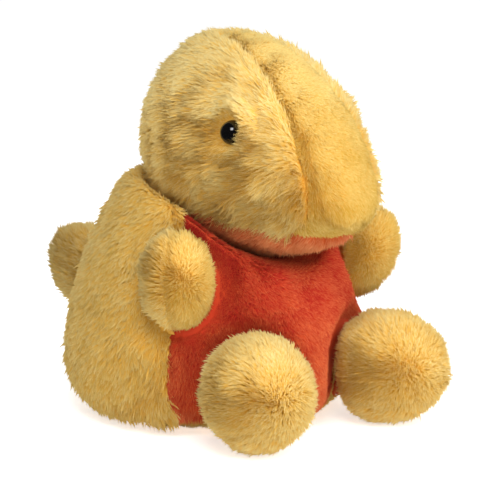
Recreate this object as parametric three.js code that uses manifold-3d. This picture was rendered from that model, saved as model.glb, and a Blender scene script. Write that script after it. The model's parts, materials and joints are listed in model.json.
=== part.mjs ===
// Stuffed dinosaur: a small sitting plush toy with a big drooping snout.
// Millimetres, +Z up. The toy faces -Y and its right side is -X. The origin is the middle of its
// seat, on the surface that it sits on. Outer surfaces are those of the pile of the plush.
import * as THREE from "three";
import { mergeVertices } from "three/addons/utils/BufferGeometryUtils.js";
import Module from "manifold-3d";

const wasm = await Module();
wasm.setup();

// Driving dimensions: the cloth and the clearances
const PLUSH = 3; // backing and pile pressed together
const BAG_CLOTH = 0.8;
const SEAM_GAP = 0.3;
const MOVING_GAP = 0.6;

// Driving dimensions: the bell-shaped body, as heights and radii
const SEAT_RADIUS = 35;
const BELLY_RADIUS = 48;
const SHOULDER_RADIUS = 37.5;
const NECK_RADIUS = 27.5;
const HEM_HEIGHT = 8;
const BELLY_HEIGHT = 20;
const SHOULDER_HEIGHT = 57;
const NECK_HEIGHT = 76;
const BODY_TOP_ABOVE_NECK = 11;
const BODY_FORWARD = 2;
const BASE_SEAM_HEIGHT = 5;
const BELLY_PANEL_HALF_ANGLE = 60;

// Driving dimensions: the head, measured from its own middle
const HEAD_ABOVE_NECK = 9;
const HEAD_FORWARD = 9;
const HEAD_HALF_WIDTH = 27;
const CROWN_RISE = 34.5;
const JAW_DROP = 33;
const JAW_LIFT = 0.42;
const SNOUT_REACH = 57;
const NAPE_REACH = 30;
const SNOUT_DROOP = 16;
const SNOUT_BLUNTNESS = 0.3;
const GUSSET_SNOUT_HALF_WIDTH = 15;
const GUSSET_CROWN_HALF_WIDTH = 6;
const CHIN_SEAM_DROP = 17;
const CHIN_SEAM_SLOPE = 7;
const THROAT_RADIUS = 15;
const NOD_ABOVE_NECK = 3;
const NOD_RANGE = [-14, 4];

// Driving dimensions: the eyes
const EYE_RADIUS = 3.7;
const EYE_DOME = 3.6;
const EYE_SUNK = 1.6;
const EYE_FORWARD = 25;
const EYE_RISE = 7.5;
const EYE_STEM_RADIUS = 1.5;
const EYE_STEM_PAST_WASHER = 2;
const WASHER_RADIUS = 5.5;
const WASHER_THICKNESS = 1;

// Driving dimensions: the bean bag in the seat
const BAG_SIDE_CLEARANCE = 9;
const BAG_HALF_HEIGHT = 15;
const BAG_FLOOR_CLEARANCE = 1;
const SEAT_RIM = 8;

// Driving dimension: where a foot's sole is sewn to its upper
const SOLE_SEAM_HEIGHT = 7.6;

// Limbs: half sizes across, along and through; heading is the turn from straight back, and tilt
// the rise of the limb's length. Their roots sit on the body's surface at the root height.
const LIMBS = [
  {
    name: "arm",
    sides: { right: 124, left: -124 },
    half: { across: 11.5, along: 18.2, through: 13.5 },
    middle: { out: 1.5, up: 0 },
    rootHeight: 48,
    rootDepth: 5,
    tilt: 55,
    range: [-25, 25],
    standsOnFloor: false,
    seam: "upright",
    panels: ["inner", "outer"],
    colour: 0xe8c56a,
  },
  {
    name: "foot",
    sides: { right: 151.5, left: -151.5 },
    half: { across: 17.2, along: 21, through: 17.6 },
    middle: { out: 6.6, up: 0 },
    rootHeight: 17.3,
    rootDepth: 7,
    tilt: 0,
    range: [-12, 20],
    standsOnFloor: true,
    seam: "level",
    panels: ["sole", "upper"],
    colour: 0xe6be5e,
  },
  {
    name: "tail",
    sides: { "": 0 },
    half: { across: 11.5, along: 25, through: 14 },
    middle: { out: 16, up: 3.5 },
    rootHeight: 29,
    rootDepth: 6,
    tilt: 22,
    range: [-20, 25],
    standsOnFloor: false,
    seam: "upright",
    panels: ["right_half", "left_half"],
    colour: 0xd8b05a,
  },
];

// Sizes that follow from them
const BODY_TOP = NECK_HEIGHT + BODY_TOP_ABOVE_NECK;
const HEAD_HEIGHT = NECK_HEIGHT + HEAD_ABOVE_NECK;
const NOD_HEIGHT = NECK_HEIGHT + NOD_ABOVE_NECK;
const BAG_RADIUS = BELLY_RADIUS - PLUSH - BAG_SIDE_CLEARANCE;
const WASHER_TOP = -PLUSH - SEAM_GAP;
const WASHER_BOTTOM = WASHER_TOP - WASHER_THICKNESS;

// How finely the round shapes are divided
const BODY_STEPS = 24;
const HEAD_STEPS = 22;
const LIMB_STEPS = 14;
const EYE_STEPS = 12;
const BAG_STEPS = 18;
const SWEEP_STEPS = 10;
const OUTLINE_STEPS = 12;
const SWEEP_STEP = 25;
const SMALL_STEP = 0.01;
const FAR = 400;
const UP = new THREE.Vector3(0, 0, 1);

const COLOURS = {
  plush: 0xe2b95c,
  gusset: 0xe9b550,
  belly: 0xc8402b,
  chin: 0xc06034,
  filling: 0xf2efe6,
  bagCloth: 0xe9e4d6,
  beans: 0xdedcd2,
  eye: 0x0c0b0b,
  washer: 0xd8d8d4,
};

const toy = new THREE.Group();

// ---- solids ----

// A closed geometry as a solid, without the folded triangles that meet at a pole.
function solidOf(geometry) {
  const bare = geometry.clone();
  bare.deleteAttribute("normal");
  bare.deleteAttribute("uv");
  const merged = mergeVertices(bare, 1e-4);
  const corners = merged.index.array;
  const triVerts = [];
  for (let i = 0; i < corners.length; i += 3) {
    const [a, b, c] = corners.slice(i, i + 3);
    if (a !== b && b !== c && c !== a) triVerts.push(a, b, c);
  }
  return new wasm.Manifold(
    new wasm.Mesh({
      numProp: 3,
      vertProperties: merged.attributes.position.array,
      triVerts: new Uint32Array(triVerts),
    }),
  );
}

function geometryOf(solid) {
  const mesh = solid.getMesh();
  const geometry = new THREE.BufferGeometry();
  geometry.setAttribute("position", new THREE.BufferAttribute(mesh.vertProperties, 3));
  geometry.setIndex(new THREE.BufferAttribute(mesh.triVerts, 1));
  const flat = geometry.toNonIndexed();
  flat.computeVertexNormals();
  return flat;
}

function addPiece(parent, name, solid, colour, roughness = 0.95) {
  const material = new THREE.MeshStandardMaterial({ color: colour, roughness, metalness: 0 });
  const piece = new THREE.Mesh(geometryOf(solid), material);
  piece.name = name;
  parent.add(piece);
}

// A box between two corners.
function block(low, high) {
  const size = high.map((value, i) => value - low[i]);
  const geometry = new THREE.BoxGeometry(...size);
  geometry.translate(...low.map((value, i) => value + size[i] / 2));
  return solidOf(geometry);
}

// Everything on one side of a plane that passes through a point, as a big box.
function halfSpace(point, normal) {
  const geometry = new THREE.BoxGeometry(FAR, FAR, FAR);
  geometry.translate(0, 0, FAR / 2);
  const turn = new THREE.Quaternion().setFromUnitVectors(UP, normal.clone().normalize());
  geometry.applyQuaternion(turn);
  geometry.translate(point.x, point.y, point.z);
  return solidOf(geometry);
}

// The unit sphere with its poles on Y, each point moved to where place() puts it.
function moulded(steps, place) {
  const geometry = new THREE.SphereGeometry(1, steps, Math.round(steps * 0.6));
  geometry.rotateX(Math.PI / 2);
  const points = geometry.attributes.position;
  const point = new THREE.Vector3();
  for (let i = 0; i < points.count; i += 1) {
    point.fromBufferAttribute(points, i);
    const moved = place(point);
    points.setXYZ(i, moved.x, moved.y, moved.z);
  }
  return geometry;
}

// ---- the body's outline ----

const bodyOutline = new THREE.SplineCurve([
  new THREE.Vector2(SEAT_RADIUS, 0),
  new THREE.Vector2((SEAT_RADIUS + 3 * BELLY_RADIUS) / 4, HEM_HEIGHT),
  new THREE.Vector2(BELLY_RADIUS, BELLY_HEIGHT),
  new THREE.Vector2((BELLY_RADIUS + SHOULDER_RADIUS) / 2, (BELLY_HEIGHT + SHOULDER_HEIGHT) / 2 + 5),
  new THREE.Vector2(SHOULDER_RADIUS, SHOULDER_HEIGHT),
  new THREE.Vector2(NECK_RADIUS, NECK_HEIGHT),
  new THREE.Vector2(NECK_RADIUS * 0.55, BODY_TOP),
]);

// The bell of the body, its wall moved outwards by grow.
function bodySolid(grow) {
  const profile = [new THREE.Vector2(0, -grow)];
  for (const point of bodyOutline.getPoints(OUTLINE_STEPS)) {
    const height = Math.max(point.y, -grow) + (point.y > NECK_HEIGHT ? grow : 0);
    profile.push(new THREE.Vector2(point.x + grow, height));
  }
  profile.push(new THREE.Vector2(0, BODY_TOP + grow));
  const geometry = new THREE.LatheGeometry(profile, BODY_STEPS);
  geometry.rotateX(Math.PI / 2);
  geometry.translate(0, -BODY_FORWARD, 0);
  return solidOf(geometry);
}

// The body's radius at a height, read off the outline.
function bodyRadiusAt(height) {
  const points = bodyOutline.getPoints(200);
  const above = points.findIndex((point) => point.y >= height);
  return points[above].x;
}

// ---- the head's outline ----

// The head's surface for a direction from its middle, its wall moved outwards by grow.
function headPoint(direction, grow = 0) {
  const forward = Math.max(0, -direction.y);
  const reach = direction.y < 0 ? SNOUT_REACH : NAPE_REACH;
  const jaw = JAW_DROP * (1 - JAW_LIFT * forward * forward);
  const rise = direction.z > 0 ? CROWN_RISE : jaw;
  const blunt = 1 + SNOUT_BLUNTNESS * forward ** 4;
  return new THREE.Vector3(
    direction.x * (HEAD_HALF_WIDTH + grow) * blunt,
    direction.y * (reach + grow) - HEAD_FORWARD,
    direction.z * (rise + grow) + HEAD_HEIGHT - SNOUT_DROOP * forward * forward,
  );
}

function headSolid(grow, steps = HEAD_STEPS) {
  return solidOf(moulded(steps, (direction) => headPoint(direction, grow)));
}

// ---- limbs ----

// A limb in its own frame: X across, Y outwards, Z up, its root at the origin.
function limbGeometry(limb, grow, steps = LIMB_STEPS) {
  const { half, middle } = limb;
  const geometry = new THREE.SphereGeometry(1, steps, Math.round(steps * 0.6));
  geometry.rotateX(Math.PI / 2);
  geometry.scale(half.across + grow, half.along + grow, half.through + grow);
  geometry.rotateX(THREE.MathUtils.degToRad(limb.tilt));
  geometry.translate(0, middle.out, middle.up);
  return geometry;
}

// The limb's frame in the toy's: its root point and its heading.
function limbFrame(limb, heading) {
  const turn = new THREE.Matrix4().makeRotationZ(THREE.MathUtils.degToRad(heading));
  const outwards = new THREE.Vector3(0, 1, 0).applyMatrix4(turn);
  const root = outwards.multiplyScalar(bodyRadiusAt(limb.rootHeight));
  root.y -= BODY_FORWARD;
  root.z = limb.rootHeight;
  return new THREE.Matrix4().makeTranslation(root).multiply(turn);
}

// A limb's outside, moved outwards by grow, above the floor if it stands there.
function limbOutside(limb, grow, steps = LIMB_STEPS) {
  const outside = solidOf(limbGeometry(limb, grow, steps));
  if (!limb.standsOnFloor) return outside;
  return outside.intersect(halfSpace(new THREE.Vector3(0, 0, -limb.rootHeight - grow), UP));
}

// The same, cut off inside the body at the limb's root.
function limbSolid(limb, grow, steps = LIMB_STEPS) {
  const rootPlane = new THREE.Vector3(0, -limb.rootDepth - Math.max(grow, 0), 0);
  const outwards = new THREE.Vector3(0, 1, 0);
  return limbOutside(limb, grow, steps).intersect(halfSpace(rootPlane, outwards));
}

// What a solid passes through as it turns about an X axis between two angles, at a place.
function sweep(solid, pivot, range, frame) {
  const [low, high] = range;
  const count = Math.max(2, Math.ceil((high - low) / SWEEP_STEP));
  const geometry = geometryOf(solid);
  let swept = null;
  for (let i = 0; i <= count; i += 1) {
    const angle = THREE.MathUtils.degToRad(low + ((high - low) * i) / count);
    const copy = geometry.clone();
    copy.translate(-pivot.x, -pivot.y, -pivot.z);
    copy.rotateX(angle);
    copy.translate(pivot.x, pivot.y, pivot.z);
    copy.applyMatrix4(frame);
    const turned = solidOf(copy);
    swept = swept ? swept.add(turned) : turned;
  }
  return swept;
}

function buildLimb(limb, side, heading) {
  const name = side ? `${limb.name}_${side}` : limb.name;
  const group = new THREE.Group();
  group.applyMatrix4(limbFrame(limb, heading));
  const shell = limbSolid(limb, 0).subtract(limbOutside(limb, -PLUSH));
  const level = limb.seam === "level";
  const seamNormal = level ? UP : new THREE.Vector3(1, 0, 0);
  const seamPoint = new THREE.Vector3(0, 0, level ? SOLE_SEAM_HEIGHT - limb.rootHeight : 0);
  const offset = seamNormal.clone().multiplyScalar(SEAM_GAP / 2);
  const first = shell.intersect(
    halfSpace(seamPoint.clone().sub(offset), seamNormal.clone().negate()),
  );
  const second = shell.intersect(halfSpace(seamPoint.clone().add(offset), seamNormal));
  const mirrored = side === "left" && !level;
  const names = mirrored ? [...limb.panels].reverse() : limb.panels;
  addPiece(group, `${name}_${names[0]}`, first, limb.colour);
  addPiece(group, `${name}_${names[1]}`, second, limb.colour);
  addPiece(group, `${name}_stuffing`, limbSolid(limb, -PLUSH - SEAM_GAP), COLOURS.filling);
  toy.add(group);
}

// What all the limbs and the nodding head pass through, with clearance.
function movingSpace() {
  const nodPivot = new THREE.Vector3(0, 0, NOD_HEIGHT);
  const facetDip = 1 - Math.cos(Math.PI / SWEEP_STEPS);
  const headGap = MOVING_GAP + facetDip * Math.max(HEAD_HALF_WIDTH, CROWN_RISE, NAPE_REACH);
  const head = headSolid(headGap, SWEEP_STEPS);
  let space = sweep(head, nodPivot, NOD_RANGE, new THREE.Matrix4());
  for (const limb of LIMBS) {
    const gap = MOVING_GAP + facetDip * Math.max(...Object.values(limb.half));
    const solid = limbSolid(limb, gap, SWEEP_STEPS);
    for (const heading of Object.values(limb.sides)) {
      const root = new THREE.Vector3(0, 0, 0);
      space = space.add(sweep(solid, root, limb.range, limbFrame(limb, heading)));
    }
  }
  return space;
}

// ---- the eyes ----

// The way out of the head's surface for a direction from its middle.
function headNormal(direction) {
  const first = new THREE.Vector3().crossVectors(UP, direction).normalize();
  const second = new THREE.Vector3().crossVectors(direction, first);
  const point = headPoint(direction);
  const stepTowards = (tangent) => {
    const near = direction.clone().addScaledVector(tangent, SMALL_STEP).normalize();
    return headPoint(near).sub(point);
  };
  return stepTowards(first).cross(stepTowards(second)).normalize();
}

// Where an eye sits on the head, and which way it looks out.
function eyeFrame(side) {
  const forward = EYE_FORWARD / SNOUT_REACH;
  const up = (EYE_RISE + SNOUT_DROOP * forward * forward) / CROWN_RISE;
  const across = Math.sqrt(1 - forward * forward - up * up);
  const direction = new THREE.Vector3(side * across, -forward, up);
  const turn = new THREE.Quaternion().setFromUnitVectors(UP, headNormal(direction));
  const unit = new THREE.Vector3(1, 1, 1);
  return new THREE.Matrix4().compose(headPoint(direction), turn, unit);
}

// The eye on its own axis: a dome and the stem under it, both grown by a clearance.
function eyeSolid(grow) {
  const stemEnd = WASHER_BOTTOM - EYE_STEM_PAST_WASHER - grow;
  const radius = EYE_RADIUS + grow;
  const dome = new THREE.EllipseCurve(0, -EYE_SUNK, radius, EYE_DOME + grow, 0, Math.PI / 2);
  const profile = [
    new THREE.Vector2(0, stemEnd),
    new THREE.Vector2(EYE_STEM_RADIUS + grow, stemEnd),
    new THREE.Vector2(EYE_STEM_RADIUS + grow, -EYE_SUNK - grow),
    new THREE.Vector2(radius, -EYE_SUNK - grow),
    ...dome.getPoints(6),
  ];
  const geometry = new THREE.LatheGeometry(profile, EYE_STEPS);
  geometry.rotateX(Math.PI / 2);
  return geometry;
}

// The locking washer, a ring on the stem against the inside of the plush.
function washerSolid(grow) {
  const top = WASHER_TOP + grow;
  const bottom = WASHER_BOTTOM - grow;
  const bore = EYE_STEM_RADIUS + SEAM_GAP - grow;
  const profile = [
    new THREE.Vector2(bore, bottom),
    new THREE.Vector2(WASHER_RADIUS + grow, bottom),
    new THREE.Vector2(WASHER_RADIUS + grow, top),
    new THREE.Vector2(bore, top),
    new THREE.Vector2(bore, bottom),
  ];
  const geometry = new THREE.LatheGeometry(profile, EYE_STEPS);
  geometry.rotateX(Math.PI / 2);
  return geometry;
}

// ---- the head's pieces ----

// The tapering strip, seen from above, that the gusset is cut to, widened by a clearance.
function gussetStrip(grow) {
  const crown = -HEAD_FORWARD + grow;
  const tip = -HEAD_FORWARD - SNOUT_REACH;
  const strip = new THREE.Shape();
  strip.moveTo(-GUSSET_CROWN_HALF_WIDTH - grow, crown);
  strip.lineTo(-GUSSET_SNOUT_HALF_WIDTH - grow, tip);
  strip.lineTo(-GUSSET_SNOUT_HALF_WIDTH - grow, -FAR);
  strip.lineTo(GUSSET_SNOUT_HALF_WIDTH + grow, -FAR);
  strip.lineTo(GUSSET_SNOUT_HALF_WIDTH + grow, tip);
  strip.lineTo(GUSSET_CROWN_HALF_WIDTH + grow, crown);
  strip.closePath();
  const geometry = new THREE.ExtrudeGeometry(strip, { depth: FAR, bevelEnabled: false });
  geometry.translate(0, 0, HEAD_HEIGHT - JAW_DROP);
  return solidOf(geometry);
}

function buildHead() {
  let shell = headSolid(0).subtract(headSolid(-PLUSH));
  const inside = headSolid(-PLUSH - SEAM_GAP / 2);
  let filling = headSolid(-PLUSH - SEAM_GAP);
  const throat = new THREE.CylinderGeometry(THROAT_RADIUS, THROAT_RADIUS, FAR, LIMB_STEPS);
  throat.rotateX(Math.PI / 2);
  throat.translate(0, 0, HEAD_HEIGHT - FAR / 2);
  shell = shell.subtract(solidOf(throat));
  for (const [name, side] of [["right", -1], ["left", 1]]) {
    const frame = eyeFrame(side);
    const pocket = solidOf(eyeSolid(SEAM_GAP).applyMatrix4(frame));
    const washer = solidOf(washerSolid(SEAM_GAP / 2).applyMatrix4(frame));
    shell = shell.subtract(pocket);
    filling = filling.subtract(pocket).subtract(washer);
    addPiece(toy, `eye_${name}`, solidOf(eyeSolid(0).applyMatrix4(frame)), COLOURS.eye, 0.08);
    const ring = solidOf(washerSolid(0).applyMatrix4(frame));
    addPiece(toy, `eye_washer_${name}`, ring.intersect(inside), COLOURS.washer, 0.5);
  }
  const seamTurn = THREE.MathUtils.degToRad(CHIN_SEAM_SLOPE);
  const down = new THREE.Vector3(0, Math.sin(seamTurn), -Math.cos(seamTurn));
  const seamPoint = new THREE.Vector3(0, -HEAD_FORWARD, HEAD_HEIGHT - CHIN_SEAM_DROP);
  const offset = down.clone().multiplyScalar(SEAM_GAP / 2);
  const underside = halfSpace(seamPoint.clone().add(offset), down);
  const upperside = halfSpace(seamPoint.clone().sub(offset), down.clone().negate());
  const front = block([-FAR, -FAR, -FAR], [FAR, -HEAD_FORWARD - SEAM_GAP / 2, FAR]);
  const chin = shell.intersect(underside).intersect(front);
  const behindChin = block([-FAR, -HEAD_FORWARD + SEAM_GAP / 2, -FAR], [FAR, FAR, FAR]);
  const upper = shell.intersect(upperside.add(behindChin));
  const sides = upper.subtract(gussetStrip(SEAM_GAP));
  addPiece(toy, "head_gusset", upper.intersect(gussetStrip(0)), COLOURS.gusset);
  addPiece(toy, "chin_panel", chin, COLOURS.chin);
  addPiece(
    toy,
    "head_side_right",
    sides.intersect(block([-FAR, -FAR, -FAR], [-SEAM_GAP / 2, FAR, FAR])),
    COLOURS.plush,
  );
  addPiece(
    toy,
    "head_side_left",
    sides.intersect(block([SEAM_GAP / 2, -FAR, -FAR], [FAR, FAR, FAR])),
    COLOURS.plush,
  );
  addPiece(toy, "head_stuffing", filling, COLOURS.filling);
}

// ---- the body's pieces ----

// The upright wedge in front of the body that holds the belly panel, widened by a clearance.
function bellyWedge(grow) {
  const angle = THREE.MathUtils.degToRad(BELLY_PANEL_HALF_ANGLE);
  const apex = grow / Math.sin(angle) - BODY_FORWARD;
  const wedge = new THREE.Shape();
  wedge.moveTo(0, apex);
  wedge.lineTo(-FAR * Math.sin(angle), apex - FAR * Math.cos(angle));
  wedge.lineTo(0, apex - FAR);
  wedge.lineTo(FAR * Math.sin(angle), apex - FAR * Math.cos(angle));
  wedge.closePath();
  const geometry = new THREE.ExtrudeGeometry(wedge, { depth: FAR, bevelEnabled: false });
  return solidOf(geometry);
}

function bagSolid(grow) {
  const geometry = new THREE.SphereGeometry(1, BAG_STEPS, Math.round(BAG_STEPS / 2.5));
  geometry.rotateX(Math.PI / 2);
  geometry.scale(BAG_RADIUS + grow, BAG_RADIUS + grow, BAG_HALF_HEIGHT + grow);
  geometry.translate(0, -BODY_FORWARD, bagHeight());
  return solidOf(geometry);
}

function bagHeight() {
  return PLUSH + SEAM_GAP + BAG_FLOOR_CLEARANCE + BAG_HALF_HEIGHT;
}

// The room for the bean bag: the bag with clearance, and the way in under it that leaves a rim
// of filling all round the seat.
function bagRoom() {
  const radius = SEAT_RADIUS - PLUSH - SEAT_RIM;
  const geometry = new THREE.CylinderGeometry(radius, radius, FAR, BAG_STEPS);
  geometry.rotateX(Math.PI / 2);
  geometry.translate(0, -BODY_FORWARD, bagHeight() - FAR / 2);
  return bagSolid(SEAM_GAP).add(solidOf(geometry));
}

function buildBody() {
  const space = movingSpace();
  const shell = bodySolid(0).subtract(bodySolid(-PLUSH)).subtract(space);
  const base = shell.intersect(block([-FAR, -FAR, -FAR], [FAR, FAR, BASE_SEAM_HEIGHT]));
  const wall = shell.intersect(block([-FAR, -FAR, BASE_SEAM_HEIGHT + SEAM_GAP], [FAR, FAR, FAR]));
  const sides = wall.subtract(bellyWedge(SEAM_GAP));
  const right = sides.intersect(block([-FAR, -FAR, -FAR], [-SEAM_GAP / 2, FAR, FAR]));
  const left = sides.intersect(block([SEAM_GAP / 2, -FAR, -FAR], [FAR, FAR, FAR]));
  addPiece(toy, "base_panel", base, COLOURS.plush);
  addPiece(toy, "belly_panel", wall.intersect(bellyWedge(0)), COLOURS.belly);
  addPiece(toy, "body_side_right", right, COLOURS.plush);
  addPiece(toy, "body_side_left", left, COLOURS.plush);
  const filling = bodySolid(-PLUSH - SEAM_GAP).subtract(space).subtract(bagRoom());
  addPiece(toy, "body_stuffing", filling, COLOURS.filling);

  const bag = bagSolid(0).subtract(bagSolid(-BAG_CLOTH)).subtract(space);
  const middle = bagHeight();
  const upper = bag.intersect(block([-FAR, -FAR, middle + SEAM_GAP / 2], [FAR, FAR, FAR]));
  const lower = bag.intersect(block([-FAR, -FAR, -FAR], [FAR, FAR, middle - SEAM_GAP / 2]));
  addPiece(toy, "bean_bag_upper", upper, COLOURS.bagCloth);
  addPiece(toy, "bean_bag_lower", lower, COLOURS.bagCloth);
  addPiece(toy, "beans", bagSolid(-BAG_CLOTH - SEAM_GAP).subtract(space), COLOURS.beans, 0.6);
}

buildBody();
buildHead();
for (const limb of LIMBS) {
  for (const [side, heading] of Object.entries(limb.sides)) {
    buildLimb(limb, side, heading);
  }
}

export default toy;
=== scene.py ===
"""A small sitting dinosaur in long-pile plush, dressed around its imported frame.

Each plush part is a filled form that is pressed out between its seams, cut into its sewn panels,
and covered with fibres that are combed the way the cloth lies. All lengths in the classes are in
millimetres, and meshes are in metres.
"""

import json
import logging
import math
from collections.abc import Callable
from dataclasses import dataclass, field
from enum import Enum
from itertools import product
from typing import ClassVar

import bpy
import numpy as np
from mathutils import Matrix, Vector
from mathutils.bvhtree import BVHTree
from mathutils.kdtree import KDTree


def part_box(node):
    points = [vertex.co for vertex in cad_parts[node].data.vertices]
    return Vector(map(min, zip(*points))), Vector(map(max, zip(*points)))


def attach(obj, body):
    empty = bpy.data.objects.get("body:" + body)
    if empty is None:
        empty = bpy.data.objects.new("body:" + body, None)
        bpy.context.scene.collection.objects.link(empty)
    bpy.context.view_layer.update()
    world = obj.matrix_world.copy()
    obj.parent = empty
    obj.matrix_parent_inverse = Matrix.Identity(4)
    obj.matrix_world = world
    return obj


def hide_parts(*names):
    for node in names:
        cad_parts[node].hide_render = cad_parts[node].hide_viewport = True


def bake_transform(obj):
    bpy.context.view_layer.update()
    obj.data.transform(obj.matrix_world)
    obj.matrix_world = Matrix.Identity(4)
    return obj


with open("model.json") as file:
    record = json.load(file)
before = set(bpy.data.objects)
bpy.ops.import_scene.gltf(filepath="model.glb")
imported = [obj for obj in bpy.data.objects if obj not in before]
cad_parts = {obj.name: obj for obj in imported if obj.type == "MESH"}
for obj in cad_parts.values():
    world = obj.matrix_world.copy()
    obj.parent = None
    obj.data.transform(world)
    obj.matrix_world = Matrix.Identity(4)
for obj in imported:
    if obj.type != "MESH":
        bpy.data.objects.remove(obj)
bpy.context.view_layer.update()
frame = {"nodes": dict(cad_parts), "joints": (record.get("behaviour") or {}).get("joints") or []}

LOG = logging.getLogger("plush_dinosaur")
MM = 0.001
FIBRE_MAP = "OFBake"
MERGE_GAP = 0.01

Point = tuple[float, float, float]


class Side(Enum):
    """The toy's own right or left; the value is the sign of X there."""

    RIGHT = -1
    LEFT = 1

    @property
    def word(self) -> str:
        """The side's word in the names of nodes and pieces."""
        return self.name.lower()


class Lie(Enum):
    """How the fibres of a panel lie."""

    AWAY = "away from a point"
    ALONG = "along a direction"


# ---------------------------------------------------------------- working on meshes


def work_on(piece: bpy.types.Object) -> None:
    """Selects one object alone and makes it the active one."""
    bpy.ops.object.select_all(action="DESELECT")
    piece.hide_viewport = False
    piece.select_set(True)
    bpy.context.view_layer.objects.active = piece


def primitive(name: str, add: Callable[..., set[str]], **settings: object) -> bpy.types.Object:
    """Adds one of Blender's primitives, with nothing else selected.

    Args:
        name: The new object's name.
        add: The operator that adds it.
        settings: The operator's values by name.

    Returns:
        The new object.
    """
    bpy.ops.object.select_all(action="DESELECT")
    add(**settings)
    made = bpy.context.view_layer.objects.active
    made.name = name
    return made


def joined(pieces: list[bpy.types.Object]) -> bpy.types.Object:
    """Joins objects into the first of them."""
    bpy.ops.object.select_all(action="DESELECT")
    for piece in pieces:
        piece.select_set(True)
    bpy.context.view_layer.objects.active = pieces[0]
    if len(pieces) > 1:
        bpy.ops.object.join()
    return bpy.context.view_layer.objects.active


def apply_modifier(piece: bpy.types.Object, kind: str, **settings: object) -> None:
    """Adds a modifier to an object, sets it up and applies it.

    Args:
        piece: The object to change.
        kind: The modifier's type.
        settings: The modifier's values by name.
    """
    work_on(piece)
    modifier = piece.modifiers.new(kind.lower(), kind)
    for name, value in settings.items():
        setattr(modifier, name, value)
    bpy.ops.object.modifier_apply(modifier=modifier.name)


def points_of(piece: bpy.types.Object) -> np.ndarray:
    """The vertices of a mesh, one row each."""
    found = np.empty(len(piece.data.vertices) * 3, np.float32)
    piece.data.vertices.foreach_get("co", found)
    return found.reshape(-1, 3).astype(float)


def move_points(piece: bpy.types.Object, points: np.ndarray) -> None:
    """Puts the vertices of a mesh at these points."""
    piece.data.vertices.foreach_set("co", points.astype(np.float32).ravel())
    piece.data.update()


def triangles_of(piece: bpy.types.Object) -> np.ndarray:
    """The triangles of a mesh as rows of three vertex numbers."""
    piece.data.calc_loop_triangles()
    found = np.empty(len(piece.data.loop_triangles) * 3, np.int32)
    piece.data.loop_triangles.foreach_get("vertices", found)
    return found.reshape(-1, 3)


def tree_of(points: np.ndarray) -> KDTree:
    """A tree of these points, for looking up the nearest."""
    tree = KDTree(len(points))
    for index, point in enumerate(points):
        tree.insert(point, index)
    tree.balance()
    return tree


def unit(vectors: np.ndarray) -> np.ndarray:
    """The rows, each made one long."""
    return vectors / np.maximum(np.linalg.norm(vectors, axis=-1, keepdims=True), 1e-12)


def normals_at(points: np.ndarray, triangles: np.ndarray) -> np.ndarray:
    """The outward direction at each vertex, from the triangles round it.

    Args:
        points: The vertices.
        triangles: Rows of three vertex numbers.

    Returns:
        One unit row for each vertex.
    """
    a, b, c = (points[triangles[:, k]] for k in range(3))
    across = np.cross(b - a, c - a)
    found = np.zeros_like(points)
    for k in range(3):
        np.add.at(found, triangles[:, k], across)
    return unit(found)


def mesh_piece(
    name: str, points: np.ndarray, triangles: np.ndarray, places: np.ndarray
) -> bpy.types.Object:
    """Makes a mesh object from rows of numbers.

    Args:
        name: The object's name.
        points: The vertices in metres.
        triangles: Rows of three vertex numbers.
        places: Where each vertex lies on the fibre map.

    Returns:
        The new object.
    """
    mesh = bpy.data.meshes.new(name)
    mesh.vertices.add(len(points))
    mesh.vertices.foreach_set("co", points.astype(np.float32).ravel())
    mesh.loops.add(triangles.size)
    mesh.loops.foreach_set("vertex_index", triangles.astype(np.int32).ravel())
    mesh.polygons.add(len(triangles))
    mesh.polygons.foreach_set("loop_start", np.arange(0, triangles.size, 3, dtype=np.int32))
    layer = mesh.uv_layers.new(name=FIBRE_MAP)
    layer.uv.foreach_set("vector", places[triangles.ravel()].astype(np.float32).ravel())
    mesh.update(calc_edges=True)
    mesh.shade_smooth()
    piece = bpy.data.objects.new(name, mesh)
    bpy.context.scene.collection.objects.link(piece)
    return piece


def merged_copy(name: str, nodes: list[str]) -> bpy.types.Object:
    """Copies CAD nodes into one new object with their shared corners merged.

    Args:
        name: The new object's name.
        nodes: The CAD nodes to copy.

    Returns:
        The new object, which rides on nothing yet.
    """
    copies = [bpy.data.objects.new(name, frame["nodes"][node].data.copy()) for node in nodes]
    for copy in copies:
        bpy.context.scene.collection.objects.link(copy)
    made = joined(copies)
    made.data.materials.clear()
    bpy.ops.object.mode_set(mode="EDIT")
    bpy.ops.mesh.select_all(action="SELECT")
    bpy.ops.mesh.remove_doubles(threshold=MERGE_GAP * MM)
    bpy.ops.object.mode_set(mode="OBJECT")
    return made


def node_corners(nodes: list[str]) -> tuple[Vector, Vector]:
    """The lowest and highest corner of several CAD nodes together."""
    boxes = [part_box(node) for node in nodes]
    low = Vector([min(box[0][k] for box in boxes) for k in range(3)])
    high = Vector([max(box[1][k] for box in boxes) for k in range(3)])
    return low, high


def spot_in(nodes: list[str], share: Point) -> Vector:
    """The point at these shares of the way across the box of some CAD nodes."""
    low, high = node_corners(nodes)
    return Vector([low[k] + share[k] * (high[k] - low[k]) for k in range(3)])


class Waves:
    """A smooth random field, the same in each run, with a spread of about one."""

    COUNT: ClassVar[int] = 24
    SPREAD: ClassVar[tuple[float, float]] = (0.6, 1.5)

    def __init__(self, seed: int, size: float) -> None:
        """Draws the waves.

        Args:
            seed: The seed of the draw.
            size: The waves' length in millimetres.
        """
        rng = np.random.default_rng(seed)
        ways = unit(rng.normal(size=(self.COUNT, 3)))
        self.ways = ways * 2 * math.pi / (size * MM * rng.uniform(*self.SPREAD, (self.COUNT, 1)))
        self.phases = rng.uniform(0, 2 * math.pi, self.COUNT)

    def at(self, points: np.ndarray) -> np.ndarray:
        """The field's value at each point."""
        return np.sin(points @ self.ways.T + self.phases).sum(1) / math.sqrt(self.COUNT / 2)


# ---------------------------------------------------------------- finishes


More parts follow.
